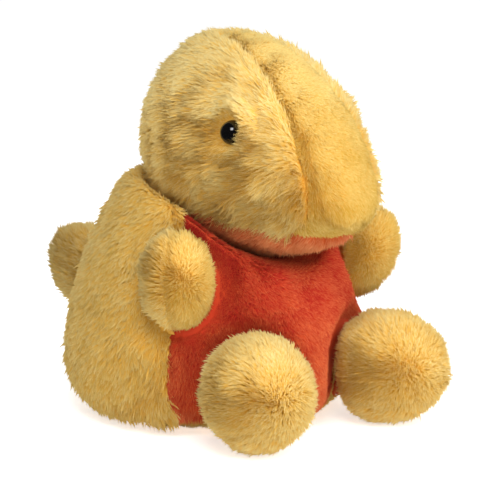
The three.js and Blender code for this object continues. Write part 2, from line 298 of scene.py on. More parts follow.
def linear(colour: str) -> tuple[float, float, float, float]:
    """A colour such as "#e0b050" as the shader's linear red, green, blue and alpha."""
    parts = [int(colour[k : k + 2], 16) / 255 for k in (1, 3, 5)]
    curve = [c / 12.92 if c <= 0.04045 else ((c + 0.055) / 1.055) ** 2.4 for c in parts]
    return (*curve, 1.0)


class Board:
    """The node board of one new material."""

    def __init__(self, name: str) -> None:
        """Starts a material that has only a Principled shader and its output."""
        self.material = bpy.data.materials.new(name)
        self.material.use_nodes = True
        self.tree = self.material.node_tree
        self.shader = self.tree.nodes["Principled BSDF"]

    def add(self, kind: str, values: dict | None = None, **settings: object) -> bpy.types.Node:
        """Adds a node.

        Args:
            kind: The node's type without its leading ShaderNode.
            values: Numbers or colours for its inputs, by name or place.
            settings: Its own properties by name.

        Returns:
            The new node.
        """
        node = self.tree.nodes.new(f"ShaderNode{kind}")
        for name, value in settings.items():
            setattr(node, name, value)
        for name, value in (values or {}).items():
            node.inputs[name].default_value = value
        return node

    def join(self, source: bpy.types.NodeSocket, target: bpy.types.NodeSocket) -> None:
        """Links an output to an input."""
        self.tree.links.new(source, target)

    def ramp(self, factor: bpy.types.NodeSocket, stops: list[tuple[float, str]]) -> bpy.types.Node:
        """Adds a colour ramp.

        Args:
            factor: What the ramp reads.
            stops: The place and colour of each stop.

        Returns:
            The ramp's node.
        """
        node = self.add("ValToRGB")
        node.color_ramp.interpolation = "EASE"
        while len(node.color_ramp.elements) < len(stops):
            node.color_ramp.elements.new(1.0)
        for element, (place, colour) in zip(node.color_ramp.elements, stops, strict=True):
            element.position = place
            element.color = linear(colour)
        self.join(factor, node.inputs[0])
        return node

    def set(self, **values: object) -> None:
        """Sets the shader's own sockets, with _ for a space in their names."""
        for name, value in values.items():
            self.shader.inputs[name.replace("_", " ")].default_value = value


@dataclass(frozen=True)
class Finish:
    """What a piece is made of and looks like."""

    name: str

    def paint(self, board: Board) -> None:
        """Lays out the material's nodes."""
        raise NotImplementedError

    def material(self) -> bpy.types.Material:
        """Builds the material, or gives the one that is there already."""
        if self.name in bpy.data.materials:
            return bpy.data.materials[self.name]
        board = Board(self.name)
        self.paint(board)
        return board.material


@dataclass(frozen=True)
class PlushFinish(Finish):
    """Dyed pile, deep at its roots, full in the middle and pale at its tips: partly the dye, and partly
    painted light, with painted shade among the roots and a painted glow on the tips.

    Attributes:
        name: The material's name.
        dark: Root, middle and tip colour of the darkest fibres.
        light: Root, middle and tip colour of the palest fibres.
        sheen: How much the fibres catch light from the side.
    """

    dark: tuple[str, str, str]
    light: tuple[str, str, str]
    sheen: float

    MIDDLE: ClassVar[float] = 0.4
    STREAKS: ClassVar[dict[str, float]] = {"Scale": 90.0, "Detail": 2.0, "Roughness": 0.6}
    STREAK_STRETCH: ClassVar[tuple[float, float, float]] = (1.0, 0.04, 1.0)
    STREAK_TONE: ClassVar[dict[str, float]] = {
        "From Min": 0.3, "From Max": 0.7, "To Min": -0.12, "To Max": 0.12
    }

    def paint(self, board: Board) -> None:
        """Lays out the material's nodes."""
        place = board.add("UVMap", uv_map=FIBRE_MAP)
        split = board.add("SeparateXYZ")
        board.join(place.outputs[0], split.inputs[0])
        tones = []
        for colours in (self.dark, self.light):
            stops = list(zip((0.0, self.MIDDLE, 1.0), colours, strict=True))
            tones.append(board.ramp(split.outputs["Y"], stops))
        streak = board.add("TexNoise", self.STREAKS)
        stretch = board.add("Mapping", {"Scale": self.STREAK_STRETCH})
        board.join(place.outputs[0], stretch.inputs[0])
        board.join(stretch.outputs[0], streak.inputs["Vector"])
        spread = board.add("MapRange", self.STREAK_TONE)
        board.join(streak.outputs[0], spread.inputs["Value"])
        tone = board.add("Math", operation="ADD", use_clamp=True)
        board.join(split.outputs["X"], tone.inputs[0])
        board.join(spread.outputs[0], tone.inputs[1])
        mix = board.add("Mix", data_type="RGBA")
        board.join(tone.outputs[0], mix.inputs["Factor"])
        board.join(tones[0].outputs[0], mix.inputs[6])
        board.join(tones[1].outputs[0], mix.inputs[7])
        board.join(mix.outputs[2], board.shader.inputs["Base Color"])
        board.set(Roughness=0.85, Specular_IOR_Level=0.12, Sheen_Weight=self.sheen, Sheen_Roughness=0.45)
        board.set(Sheen_Tint=linear(self.light[2]))


@dataclass(frozen=True)
class FillingFinish(Finish):
    """Loose white polyester fibre, matted into tufts, with painted shade in the hollows between them."""

    name: str = "fibrefill"
    hollow: str = "#cfccc2"
    crest: str = "#f4f3ee"
    tuft: float = 260.0

    def paint(self, board: Board) -> None:
        """Lays out the material's nodes."""
        place = board.add("TexCoord")
        noise = board.add("TexNoise", {"Scale": self.tuft, "Detail": 6.0, "Distortion": 1.4})
        board.join(place.outputs["Object"], noise.inputs["Vector"])
        # Painted shade: the fibre is greyer in the hollows of the same noise that bumps it.
        ramp = board.ramp(noise.outputs[0], [(0.35, self.hollow), (0.65, self.crest)])
        board.join(ramp.outputs[0], board.shader.inputs["Base Color"])
        bump = board.add("Bump", {"Strength": 0.6, "Distance": 0.4 * MM})
        board.join(noise.outputs[0], bump.inputs["Height"])
        board.join(bump.outputs[0], board.shader.inputs["Normal"])
        board.set(Roughness=0.9, Sheen_Weight=0.4, Sheen_Roughness=0.5)


@dataclass(frozen=True)
class BagClothFinish(Finish):
    """Plain-woven cotton, natural white, with painted shade between its threads."""

    name: str = "bag_cotton"
    valley: str = "#b9b09c"
    thread: str = "#e6dfcd"
    thread_pitch: float = 0.55

    def paint(self, board: Board) -> None:
        """Lays out the material's nodes."""
        place = board.add("TexCoord")
        waves = []
        for axis in ("X", "Y"):
            wave = board.add(
                "TexWave", {"Scale": 0.1 / (self.thread_pitch * MM), "Distortion": 0.6}, bands_direction=axis
            )
            board.join(place.outputs["Object"], wave.inputs["Vector"])
            waves.append(wave)
        weave = board.add("Math", operation="MAXIMUM")
        board.join(waves[0].outputs["Fac"], weave.inputs[0])
        board.join(waves[1].outputs["Fac"], weave.inputs[1])
        # Painted shade: darker in the valleys between the threads, under the same waves that bump them.
        ramp = board.ramp(weave.outputs[0], [(0.2, self.valley), (0.9, self.thread)])
        board.join(ramp.outputs[0], board.shader.inputs["Base Color"])
        bump = board.add("Bump", {"Strength": 0.5, "Distance": 0.1 * MM})
        board.join(weave.outputs[0], bump.inputs["Height"])
        board.join(bump.outputs[0], board.shader.inputs["Normal"])
        board.set(Roughness=0.85)


@dataclass(frozen=True)
class PlasticFinish(Finish):
    """Moulded plastic with a faint cloudiness and fine handling marks.

    Attributes:
        name: The material's name.
        low: The darker of its two near colours.
        high: The lighter one.
        roughness: The smallest and largest roughness over its surface.
        shine: How strongly it mirrors its surroundings; 0.5 is usual.
        cloud: How many clouds of colour there are to a metre.
    """

    low: str
    high: str
    roughness: tuple[float, float]
    shine: float = 0.5
    cloud: float = 400.0

    def paint(self, board: Board) -> None:
        """Lays out the material's nodes."""
        place = board.add("TexCoord")
        noise = board.add("TexNoise", {"Scale": self.cloud, "Detail": 3.0})
        board.join(place.outputs["Object"], noise.inputs["Vector"])
        ramp = board.ramp(noise.outputs[0], [(0.35, self.low), (0.65, self.high)])
        board.join(ramp.outputs[0], board.shader.inputs["Base Color"])
        marks = board.add("MapRange", {"To Min": self.roughness[0], "To Max": self.roughness[1]})
        board.join(noise.outputs[0], marks.inputs["Value"])
        board.join(marks.outputs[0], board.shader.inputs["Roughness"])
        board.set(Specular_IOR_Level=self.shine)


YELLOW = PlushFinish(
    "plush_long_yellow", ("#d98c24", "#e0a43c", "#dcb55a"), ("#eba43a", "#f0c05a", "#f6e09c"), 0.2
)
SMOOTH_YELLOW = PlushFinish(
    "velvet_yellow", ("#d68c24", "#d29a34", "#cc9e38"), ("#eaa83e", "#efba58", "#f2da8c"), 0.05
)
# The red's dark colours are partly painted shade: deep crimson for the top of the belly, in the chin's
# shadow.
RED = PlushFinish(
    "plush_short_red", ("#90101a", "#b4241e", "#be3222"), ("#cc2c1e", "#e65e2a", "#f29056"), 0.1
)
CHIN_RED = PlushFinish(
    "plush_chin_red", ("#a4181c", "#c84224", "#de6c3a"), ("#c0301e", "#e46a32", "#f2a66e"), 0.2
)
FILLING = FillingFinish()
BAG_COTTON = BagClothFinish()
EYE_BLACK = PlasticFinish("eye_gloss_black", "#020202", "#060505", (0.05, 0.1), shine=0.6)
WASHER_WHITE = PlasticFinish("washer_nylon", "#d9d7cf", "#eceae4", (0.35, 0.5))
BEAN_WHITE = PlasticFinish("bean_pellets", "#cfd0cb", "#f1f1ec", (0.3, 0.5), cloud=180.0)


def dress(piece: bpy.types.Object, finish: Finish, node: str) -> None:
    """Gives a piece its finish, and hides the CAD node that it replaces.

    Args:
        piece: The finished piece.
        finish: What it is made of.
        node: The CAD node that it replaces.
    """
    piece.data.materials.clear()
    piece.data.materials.append(finish.material())
    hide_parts(node)
    LOG.info("%s: %d faces", piece.name, len(piece.data.polygons))


# ---------------------------------------------------------------- pile


@dataclass(frozen=True)
class Comb:
    """The way in which a panel is combed.

    Attributes:
        lie: Whether the fibres point away from a place or along a direction.
        anchor: That place, or that direction.
        whorl: How far the way wanders to either side, in degrees.
        fall: How much of straight down is mixed in.
        crown: How far from the place that it points away from the pile still stands up.
    """

    lie: Lie
    anchor: Point
    whorl: float = 16.0
    fall: float = 0.0
    crown: float = 0.0

    def flow(self, points: np.ndarray, normals: np.ndarray) -> np.ndarray:
        """The way that the fibres lie at each root, along the cloth.

        Args:
            points: The roots.
            normals: The outward direction at each root.

        Returns:
            One unit row for each root.
        """
        if self.lie is Lie.AWAY:
            way = unit(points - np.array(self.anchor))
        else:
            way = np.broadcast_to(unit(np.array(self.anchor, float)), points.shape).copy()
        way[:, 2] -= self.fall
        way -= (way * normals).sum(1, keepdims=True) * normals
        return unit(way)

    def lay(self, points: np.ndarray) -> np.ndarray:
        """The share of its full lean that the pile has at each root."""
        if self.crown == 0:
            return np.ones(len(points))
        gap = np.linalg.norm(points - np.array(self.anchor), axis=1)
        return np.clip(gap / (self.crown * MM), 0, 1)


@dataclass(frozen=True)
class Pile:
    """The cut fibres of a plush, which stand on its backing in small locks.

    Attributes:
        length: A fibre's length.
        lean: How far it leans from straight up, in degrees.
        width: A lock of fibre's width at its root.
        density: Fibres to a square millimetre.
        lock: How far apart the locks are.
        gather: How far the tips of a lock are drawn together, from 0 to 1.
        shag: How much the length varies.
        arch: How far a fibre bows up on its way, as a share of its length.
        parting: How far from a seam the pile starts to get shorter.
    """

    length: float
    lean: float
    width: float
    density: float
    lock: float = 1.5
    gather: float = 0.5
    shag: float = 0.16
    arch: float = 0.16
    parting: float = 2.5

    LEAN_SPREAD: ClassVar[float] = 7.0
    LEAST_LEAN: ClassVar[float] = 0.3
    SEAM_LEAN: ClassVar[float] = 0.75
    CALM: ClassVar[float] = 0.3
    SHORTEST: ClassVar[float] = 0.85
    SUNK: ClassVar[float] = 0.25
    TONE_WIDTH: ClassVar[float] = 0.02
    SOFTNESS: ClassVar[float] = 0.82
    PRESS: ClassVar[float] = 2.0
    TURN_WAVES: ClassVar[tuple[float, float]] = (0.8, 11.0)
    TURN_SPREAD: ClassVar[float] = 0.7
    LEAN_WAVES: ClassVar[tuple[float, float]] = (0.4, 7.0)
    MOST_LEAN: ClassVar[float] = 80.0
    LENGTH_WAVES: ClassVar[tuple[float, float]] = (0.35, 5.0)
    LEAST_LENGTH: ClassVar[float] = 0.3
    MOST_LENGTH: ClassVar[float] = 1.6
    WIDTHS: ClassVar[tuple[float, float]] = (0.7, 1.3)
    FLOOR_GAP: ClassVar[float] = 0.1
    TONE_SPREAD: ClassVar[float] = 0.13
    TONE_WAVES: ClassVar[tuple[tuple[float, float], ...]] = ((0.06, 9.0), (0.03, 2.5))
    SEAM_SHADE: ClassVar[float] = 0.05
    PULLS: ClassVar[tuple[float, float]] = (0.4, 1.0)

    def fibres(self, roots: "Roots", comb: Comb, seed: int) -> "Tuft":
        """Grows one tapered, bowed fibre from each root.

        Args:
            roots: Where the fibres stand.
            comb: How they lie.
            seed: The seed of their differences.

        Returns:
            All the fibres' faces together.
        """
        rng = np.random.default_rng(seed)
        count = len(roots.points)
        up = roots.normals
        flow = comb.flow(roots.points, up)
        flow = unit(flow + roots.push * self.PRESS)
        flow = unit(flow - (flow * up).sum(1, keepdims=True) * up)
        across = np.cross(flow, up)

        def wander(step: int, waves: tuple[float, float]) -> np.ndarray:
            """Slow waves of some strength and size over the cloth."""
            strength, size = waves
            return strength * Waves(seed + step, size).at(roots.points)

        turn = np.radians(comb.whorl) * (
            wander(1, self.TURN_WAVES) + self.TURN_SPREAD * rng.normal(size=count)
        )
        lay = comb.lay(roots.points)
        turn += (1 - lay) * rng.uniform(-1.0, 1.0, count) * math.pi
        flow = flow * np.cos(turn)[:, None] + across * np.sin(turn)[:, None]
        across = np.cross(flow, up)
        near = np.clip(roots.seam_gap / (self.parting * MM), 0, 1)
        share = self.LEAST_LEAN + (1 - self.LEAST_LEAN) * lay
        share = share * (self.SEAM_LEAN + (1 - self.SEAM_LEAN) * near)
        lean = np.radians(
            self.lean * share
            + self.LEAN_SPREAD * (wander(2, self.LEAN_WAVES) + rng.normal(size=count))
        )
        lean = np.clip(lean, 0.0, np.radians(self.MOST_LEAN))
        way = up * np.cos(lean)[:, None] + flow * np.sin(lean)[:, None]
        ragged = self.shag * (self.CALM + (1 - self.CALM) * lay)
        length = self.length * (1 + ragged * (wander(3, self.LENGTH_WAVES) + rng.normal(size=count)))
        length *= (self.SHORTEST + (1 - self.SHORTEST) * near) * roots.trim
        length = np.clip(length, self.LEAST_LENGTH, self.MOST_LENGTH * self.length)[:, None] * MM
        start = roots.points - up * self.SUNK * MM
        tip = self._gathered(start + way * length, lay, rng)
        crest = start + 0.5 * (tip - start) + up * self.arch * length
        half = 0.5 * self.width * MM * rng.uniform(*self.WIDTHS, (count, 1)) * across
        points = np.stack([start - half, start + half, crest, tip], 1)
        points[..., 2] = np.maximum(points[..., 2], self.FLOOR_GAP * MM)
        # roots.paleness carries the painted light and painted shade of the part and of its panel.
        tone = (
            0.5
            + self.TONE_SPREAD * rng.normal(size=count)
            + wander(4, self.TONE_WAVES[0])
            + wander(5, self.TONE_WAVES[1])
            - self.SEAM_SHADE * (1 - near)
            + roots.paleness
        ).clip(self.TONE_WIDTH, 1 - self.TONE_WIDTH)
        sides = np.array([-1.0, 1.0, 0.0, 0.0]) * self.TONE_WIDTH
        heights = np.array([0.0, 0.0, 0.5, 1.0])
        places = np.stack([tone[:, None] + sides, np.broadcast_to(heights, (count, 4))], -1)
        faces = np.array([(0, 3, 1), (0, 2, 3), (1, 3, 2), (0, 1, 2)])
        triangles = faces[None] + 4 * np.arange(count)[:, None, None]
        softened = unit(
            self.SOFTNESS * up[:, None]
            + (1 - self.SOFTNESS) * unit(points - points.mean(1, keepdims=True))
        )
        places = places.reshape(-1, 2)
        return Tuft(points.reshape(-1, 3), triangles.reshape(-1, 3), places, softened.reshape(-1, 3))

    def _gathered(self, tips: np.ndarray, lay: np.ndarray, rng: np.random.Generator) -> np.ndarray:
        """Draws the tips of each lock together.

        Args:
            tips: Where the fibres would end.
            lay: How far each lies down, as a share of the pile's lean.
            rng: The source of the locks' places.

        Returns:
            Where they end.
        """
        locks = max(1, int(len(tips) / (self.density * self.lock**2)))
        tree = tree_of(tips[rng.choice(len(tips), locks, replace=False)])
        lock = np.array([tree.find(tip)[1] for tip in tips])
        count = np.maximum(np.bincount(lock, minlength=locks), 1)[:, None]
        middle = np.stack([np.bincount(lock, tips[:, k], locks) for k in range(3)], 1) / count
        pull = self.gather * (lay * rng.uniform(*self.PULLS, len(tips)))[:, None]
        return tips + pull * (middle[lock] - tips)


@dataclass
class Tuft:
    """The faces of many fibres: vertices, triangles, places on the fibre map and shading normals."""

    points: np.ndarray
    triangles: np.ndarray
    places: np.ndarray
    normals: np.ndarray

    def piece(self, name: str) -> bpy.types.Object:
        """Makes the fibres a mesh object that is lit as softly as a mass of fine hair."""
        made = mesh_piece(name, self.points, self.triangles, self.places)
        made.data.normals_split_custom_set_from_vertices(self.normals.tolist())
        return made


@dataclass
class Roots:
    """Where the fibres of a panel stand, and what is round them.

    Attributes:
        points: The roots on the backing.
        normals: The outward direction at each.
        seam_gap: How far each is from the nearest seam.
        trim: The share of the full length that each has.
        push: A way that some are pressed aside, such as from an eye.
        paleness: What is added to the tone of each.
    """

    points: np.ndarray
    normals: np.ndarray
    seam_gap: np.ndarray
    trim: np.ndarray
    push: np.ndarray
    paleness: np.ndarray

    def where(self, kept: np.ndarray) -> "Roots":
        """The roots that a mask keeps."""
        parts = (self.points, self.normals, self.seam_gap, self.trim, self.push, self.paleness)
        return Roots(*(part[kept] for part in parts))


# ---------------------------------------------------------------- plush parts


class PanelMap:
    """Tells which of a part's sewn panels lies at a point."""

    NONE: ClassVar[int] = -1
    UNSEEN: ClassVar[int] = 99
    DEEPEST: ClassVar[float] = 12.0
    PAST_WALL: ClassVar[float] = 0.01
    ASIDE: ClassVar[Vector] = Vector((0.31, 0.17, 0.935)).normalized()

    def __init__(self, nodes: list[str]) -> None:
        """Reads the panels' solids from the frame."""
        points, triangles, owners, start = [], [], [], 0
        for index, node in enumerate(nodes):
            solid = frame["nodes"][node]
            corners, faces = points_of(solid), triangles_of(solid)
            points.append(corners)
            triangles.append(faces + start)
            owners.append(np.full(len(faces), index))
            start += len(corners)
        self.owners = np.concatenate(owners)
        self.tree = BVHTree.FromPolygons(
            np.concatenate(points).tolist(), np.concatenate(triangles).tolist()
        )

    def at(self, points: np.ndarray, reach: float) -> np.ndarray:
        """The number of the panel at each point.

        Args:
            points: The points to look up.
            reach: How far off a panel may be, in metres.

        Returns:
            The panels' numbers, with NONE where there is no panel within reach.
        """
        found = (self.tree.find_nearest(point, reach)[2] for point in points)
        return np.array([self.NONE if face is None else self.owners[face] for face in found])

    def room_over(self, points: np.ndarray, reach: float) -> np.ndarray:
        """How far each point is from the nearest panel, as a share of the reach, and 1 beyond it."""
        found = (self.tree.find_nearest(point, reach)[3] for point in points)
        return np.array([1.0 if gap is None else gap / reach for gap in found])

    def covered(self, points: np.ndarray, ways: np.ndarray, reach: float) -> np.ndarray:
        """Whether something lies on each point within reach along its way."""
        pairs = zip(points, ways, strict=True)
        return np.array([self.tree.ray_cast(p, w, reach)[0] is not None for p, w in pairs])

    def holds(self, points: np.ndarray) -> np.ndarray:
        """Whether each point is inside one of the solids."""
        return np.array([self._walls_beyond(Vector(point)) % 2 == 1 for point in points])

    def _walls_beyond(self, point: Vector) -> int:
        """How many walls a line to one side of a point goes through, where any wall is near it."""
        if self.tree.find_nearest(point, self.DEEPEST * MM)[0] is None:
            return 0
        walls = 0
        while True:
            place = self.tree.ray_cast(point, self.ASIDE)[0]
            if place is None:
                return walls
            walls += 1
            point = place + self.ASIDE * self.PAST_WALL * MM


@dataclass(frozen=True)
class PlushPanel:
    """One sewn panel of a part.

    Attributes:
        node: Its CAD node.
        slot: The record's slot for its finish; not used.
        finish: Its dyed pile's finish.
        pile: Its pile.
        comb: How it is combed.
        tone: How much paler its fibres are than usual.
        fade: How much paler its fibres are at its foot than at its top, a painted shade at the top.
        lap: How far its pile leans over the seams towards its neighbours.
    """

    node: str
    slot: str
    finish: PlushFinish
    pile: Pile
    comb: Comb
    tone: float = 0.0
    fade: float = 0.0
    lap: float = 0.4

    def paleness(self, points: np.ndarray) -> np.ndarray:
        """What the panel adds to the tone of the fibres at these roots, with painted shade towards its top.
        """
        low, high = (spot_in([self.node], (0.5, 0.5, share)).z for share in (0.0, 1.0))
        return self.tone + self.fade * (0.5 - (points[:, 2] - low) / (high - low))


@dataclass(frozen=True)
class BareSpot:
    """A place that something hard sits on, with no pile under it and short pile round it.

    Attributes:
        middle: The middle of the spot.
        way: The unit way out of the cloth there.
        bare: How far from the middle there is no pile.
        clipped: How far from it the pile is short.
        grip: The radius of what grips the cloth from behind.
        behind: How far behind the middle the front of that is.
    """

    middle: Point
    way: Point
    bare: float
    clipped: float
    grip: float
    behind: float


@dataclass(frozen=True)
class Bend:
    """How a part bends from one body to another between two points."""

    first: str
    second: str
    start: Point
    end: Point


SMALL_PARTS = ("bean", "washer", "eye")


@dataclass
class PlushPart:
    """A filled plush part: its panels with their pile, and the fibre filling in it.

    Attributes:
        name: The part's name.
        body: The body that it rides on.
        filling: The CAD node of its filling.
        level: How finely its form is divided.
        backing: How far its backing lies under the frame's outer wall.
        swell: How far the filling may press the cloth out between its seams.
        tuck: How far a seam draws in.
        lip: How far the backing goes on across an opening.
        crowded: The share of its length that the pile has where it meets another part.
        tone: How much paler the whole part is.
        worn_top: How much paler the pile is painted where it faces up, a painted light from above.
        worn_back: How much paler it is painted where it faces back, a painted rim light from behind.
        seed: The seed of all that is random in it.
        bare_spots: The places on it that hold something hard.
    """

    name: str
    body: str
    filling: str
    level: int = 4
    backing: float = 2.5
    swell: float = 0.8
    tuck: float = 0.4
    lip: float = 5.0
    crowded: float = 0.6
    tone: float = 0.0
    worn_top: float = 0.2
    worn_back: float = 0.12
    seed: int = 1
    bare_spots: list[BareSpot] = field(default_factory=list)

    SOLID_GRAIN: ClassVar[float] = 1.1
    SMOOTHING: ClassVar[int] = 5
    SMOOTH_STEP: ClassVar[float] = 0.5
    OPENING_EDGE: ClassVar[float] = 1.8
    STRETCHING: ClassVar[int] = 120
    STRETCH_STEP: ClassVar[float] = 0.9
    PRESSURE: ClassVar[float] = 4.0
    CLOTH_MASS: ClassVar[float] = 0.0003
    CLOTH_EASE: ClassVar[float] = 0.012
    DIMPLE: ClassVar[float] = 0.15
    SETTLING: ClassVar[int] = 20
    CLOTH_THICKNESS: ClassVar[float] = 0.5
    TUCK_REACH: ClassVar[float] = 3.0
    CONTACT: ClassVar[float] = 0.2
    FILL_GRAIN: ClassVar[float] = 2.0
    FILL_CLEARANCE: ClassVar[float] = 1.2
    FILL_LUMPS: ClassVar[float] = 0.5
    FILL_SMOOTHING: ClassVar[int] = 3
    LUMP_SIZE: ClassVar[float] = 9.0
    MOST_LUMP: ClassVar[float] = 1.5
    LIFT_EDGE: ClassVar[float] = 3.0
    LIFT_DEPTH: ClassVar[float] = 12.0
    LIFT_CLEARANCE: ClassVar[float] = 0.3
    SPOT_PUSH: ClassVar[float] = 0.4
    SPOT_TRIM: ClassVar[float] = 0.3
    SEAM_REACH: ClassVar[float] = 3.0
    CROWDING: ClassVar[float] = 7.0
    BACKING_TONE: ClassVar[tuple[float, float]] = (0.3, 0.4)
    BACKING_SPREAD: ClassVar[tuple[float, float]] = (0.2, 0.2)

    def panels(self) -> list[PlushPanel]:
        """The part's sewn panels."""
        raise NotImplementedError

    def bends(self) -> Bend | None:
        """How the part bends, or None where it is carried whole."""
        return None

    def build(self) -> None:
        """Makes the part's panels and its filling."""
        panels = self.panels()
        nodes = [panel.node for panel in panels]
        owners = PanelMap(nodes)
        form = self._form(nodes, owners)
        outside = [
            name
            for name in frame["nodes"]
            if name not in [*nodes, self.filling] and not any(w in name for w in SMALL_PARTS)
        ]
        roots, owner = self._roots(form, owners, PanelMap(outside), max(p.pile.density for p in panels))
        face_owner = self._face_owners(form, owners)
        for index, panel in enumerate(panels):
            backing = self._backing(form, face_owner == index)
            self._panel(backing, panel, index, roots, owner)
        self._fill(form)
        bpy.data.objects.remove(form)

    def _form(self, nodes: list[str], owners: PanelMap) -> bpy.types.Object:
        """Makes the part's closed backing, pressed out by its filling.

        Args:
            nodes: The CAD nodes of its panels.
            owners: Which panel lies where.

        Returns:
            The form, whose faces say which panel they belong to.
        """
        solid = merged_copy(f"{self.name}_solid", [*nodes, self.filling])
        apply_modifier(solid, "REMESH", mode="VOXEL", voxel_size=self.SOLID_GRAIN * MM)
        low, high = node_corners(nodes)
        form = primitive(
            f"{self.name}_form",
            bpy.ops.mesh.primitive_ico_sphere_add,
            subdivisions=self.level,
            radius=(high - low).length,
            location=(low + high) / 2,
        )
        bpy.ops.object.transform_apply(location=True, rotation=False, scale=False)
        apply_modifier(
            form,
            "SHRINKWRAP",
            target=solid,
            wrap_method="PROJECT",
            use_positive_direction=False,
            use_negative_direction=True,
        )
        bpy.data.objects.remove(solid)
        self._bridge_openings(form, owners)
        apply_modifier(form, "SMOOTH", factor=self.SMOOTH_STEP, iterations=self.SMOOTHING)
        apply_modifier(form, "DISPLACE", strength=-self.backing * MM, mid_level=0.0)
        self._press_out(form, owners)
        apply_modifier(form, "SUBSURF", levels=1, render_levels=1)
        self._tuck_seams(form, owners)
        self._lift_over_grips(form)
        return form

    def _bridge_openings(self, form: bpy.types.Object, owners: PanelMap) -> None:
        """Stretches the form straight across the openings that other parts are sewn into."""
        free = owners.at(points_of(form), self.OPENING_EDGE * MM) == PanelMap.NONE
        if not free.any():
            return
        opening = form.vertex_groups.new(name="opening")
        opening.add(np.flatnonzero(free).tolist(), 1.0, "REPLACE")
        apply_modifier(
            form,
            "SMOOTH",
            factor=self.STRETCH_STEP,
            iterations=self.STRETCHING,
            vertex_group=opening.name,
        )

    def _face_owners(self, form: bpy.types.Object, owners: PanelMap) -> np.ndarray:
        """The panel that each triangle of the form belongs to."""
        points, triangles = points_of(form), triangles_of(form)
        middles = points[triangles].mean(1)
        ways = normals_at(points, triangles)[triangles].mean(1)
        return owners.at(middles + unit(ways) * self.backing * MM, self.lip * MM)

    def _seams(self, form: bpy.types.Object, owners: PanelMap) -> np.ndarray:
        """Marks the vertices that the triangles of two panels share.

        Args:
            form: The part's form.
            owners: Which panel lies where.

        Returns:
            A mask over the form's vertices.
        """
        owner, triangles = self._face_owners(form, owners), triangles_of(form)
        lowest = np.full(len(form.data.vertices), PanelMap.UNSEEN)
        highest = np.full(len(form.data.vertices), PanelMap.NONE)
        for k in range(3):
            np.minimum.at(lowest, triangles[:, k], owner)
            np.maximum.at(highest, triangles[:, k], owner)
        return lowest != highest

    def _press_out(self, form: bpy.types.Object, owners: PanelMap) -> None:
        """Lets the filling press the cloth out between its seams, by cloth simulation."""
        seams = self._seams(form, owners)
        before = points_of(form)
        held = form.vertex_groups.new(name="seams")
        held.add(np.flatnonzero(seams).tolist(), 1.0, "REPLACE")
        work_on(form)
        cloth = form.modifiers.new("pressed", "CLOTH")
        cloth.settings.vertex_group_mass = held.name
        cloth.settings.mass = self.CLOTH_MASS
        cloth.settings.shrink_min = -self.CLOTH_EASE
        cloth.settings.use_pressure = True
        cloth.settings.uniform_pressure_force = self.PRESSURE
        cloth.settings.effector_weights.gravity = 0.0
        for step in range(1, self.SETTLING + 1):
            bpy.context.scene.frame_set(step)
        bpy.ops.object.modifier_apply(modifier=cloth.name)
        bpy.context.scene.frame_set(1)
        moved = points_of(form) - before
        way = normals_at(before, triangles_of(form))
        rise = (moved * way).sum(1)
        LOG.info(
            "%s: pressed out by %.2f mm in the middle and up to %.2f mm",
            self.name,
            np.median(rise) / MM,
            rise.max() / MM,
        )
        rise = np.clip(rise, -self.DIMPLE * MM, self.swell * MM)
        move_points(form, before + way * rise[:, None])

    def _seam_line(self, form: bpy.types.Object, owners: PanelMap) -> KDTree:
        """A tree of the points along the part's seams, for looking up the nearest."""
        return tree_of(points_of(form)[self._seams(form, owners)])

    def _tuck_seams(self, form: bpy.types.Object, owners: PanelMap) -> None:
        """Draws the cloth in along its seams."""
        tree = self._seam_line(form, owners)
        points = points_of(form)
        gap = np.array([tree.find(point)[2] for point in points]) / (self.TUCK_REACH * MM)
        depth = self.tuck * MM * (1 - np.clip(gap, 0, 1)) ** 2
        way = normals_at(points, triangles_of(form))
        move_points(form, points - way * depth[:, None])

    def _lift_over_grips(self, form: bpy.types.Object) -> None:
        """Keeps the cloth over the hard things that grip it from behind."""
        points = points_of(form)
        for spot in self.bare_spots:
            way = np.array(spot.way)
            away = points - np.array(spot.middle)
            along = away @ way / MM
            aside = np.linalg.norm(away / MM - along[:, None] * way, axis=1)
            share = ((spot.grip + self.LIFT_EDGE - aside) / self.LIFT_EDGE).clip(0, 1)
            share[along < -self.LIFT_DEPTH] = 0
            lowest = self.CLOTH_THICKNESS + self.LIFT_CLEARANCE - spot.behind
            points += way * (share * (lowest - along).clip(0, None) * MM)[:, None]
        move_points(form, points)

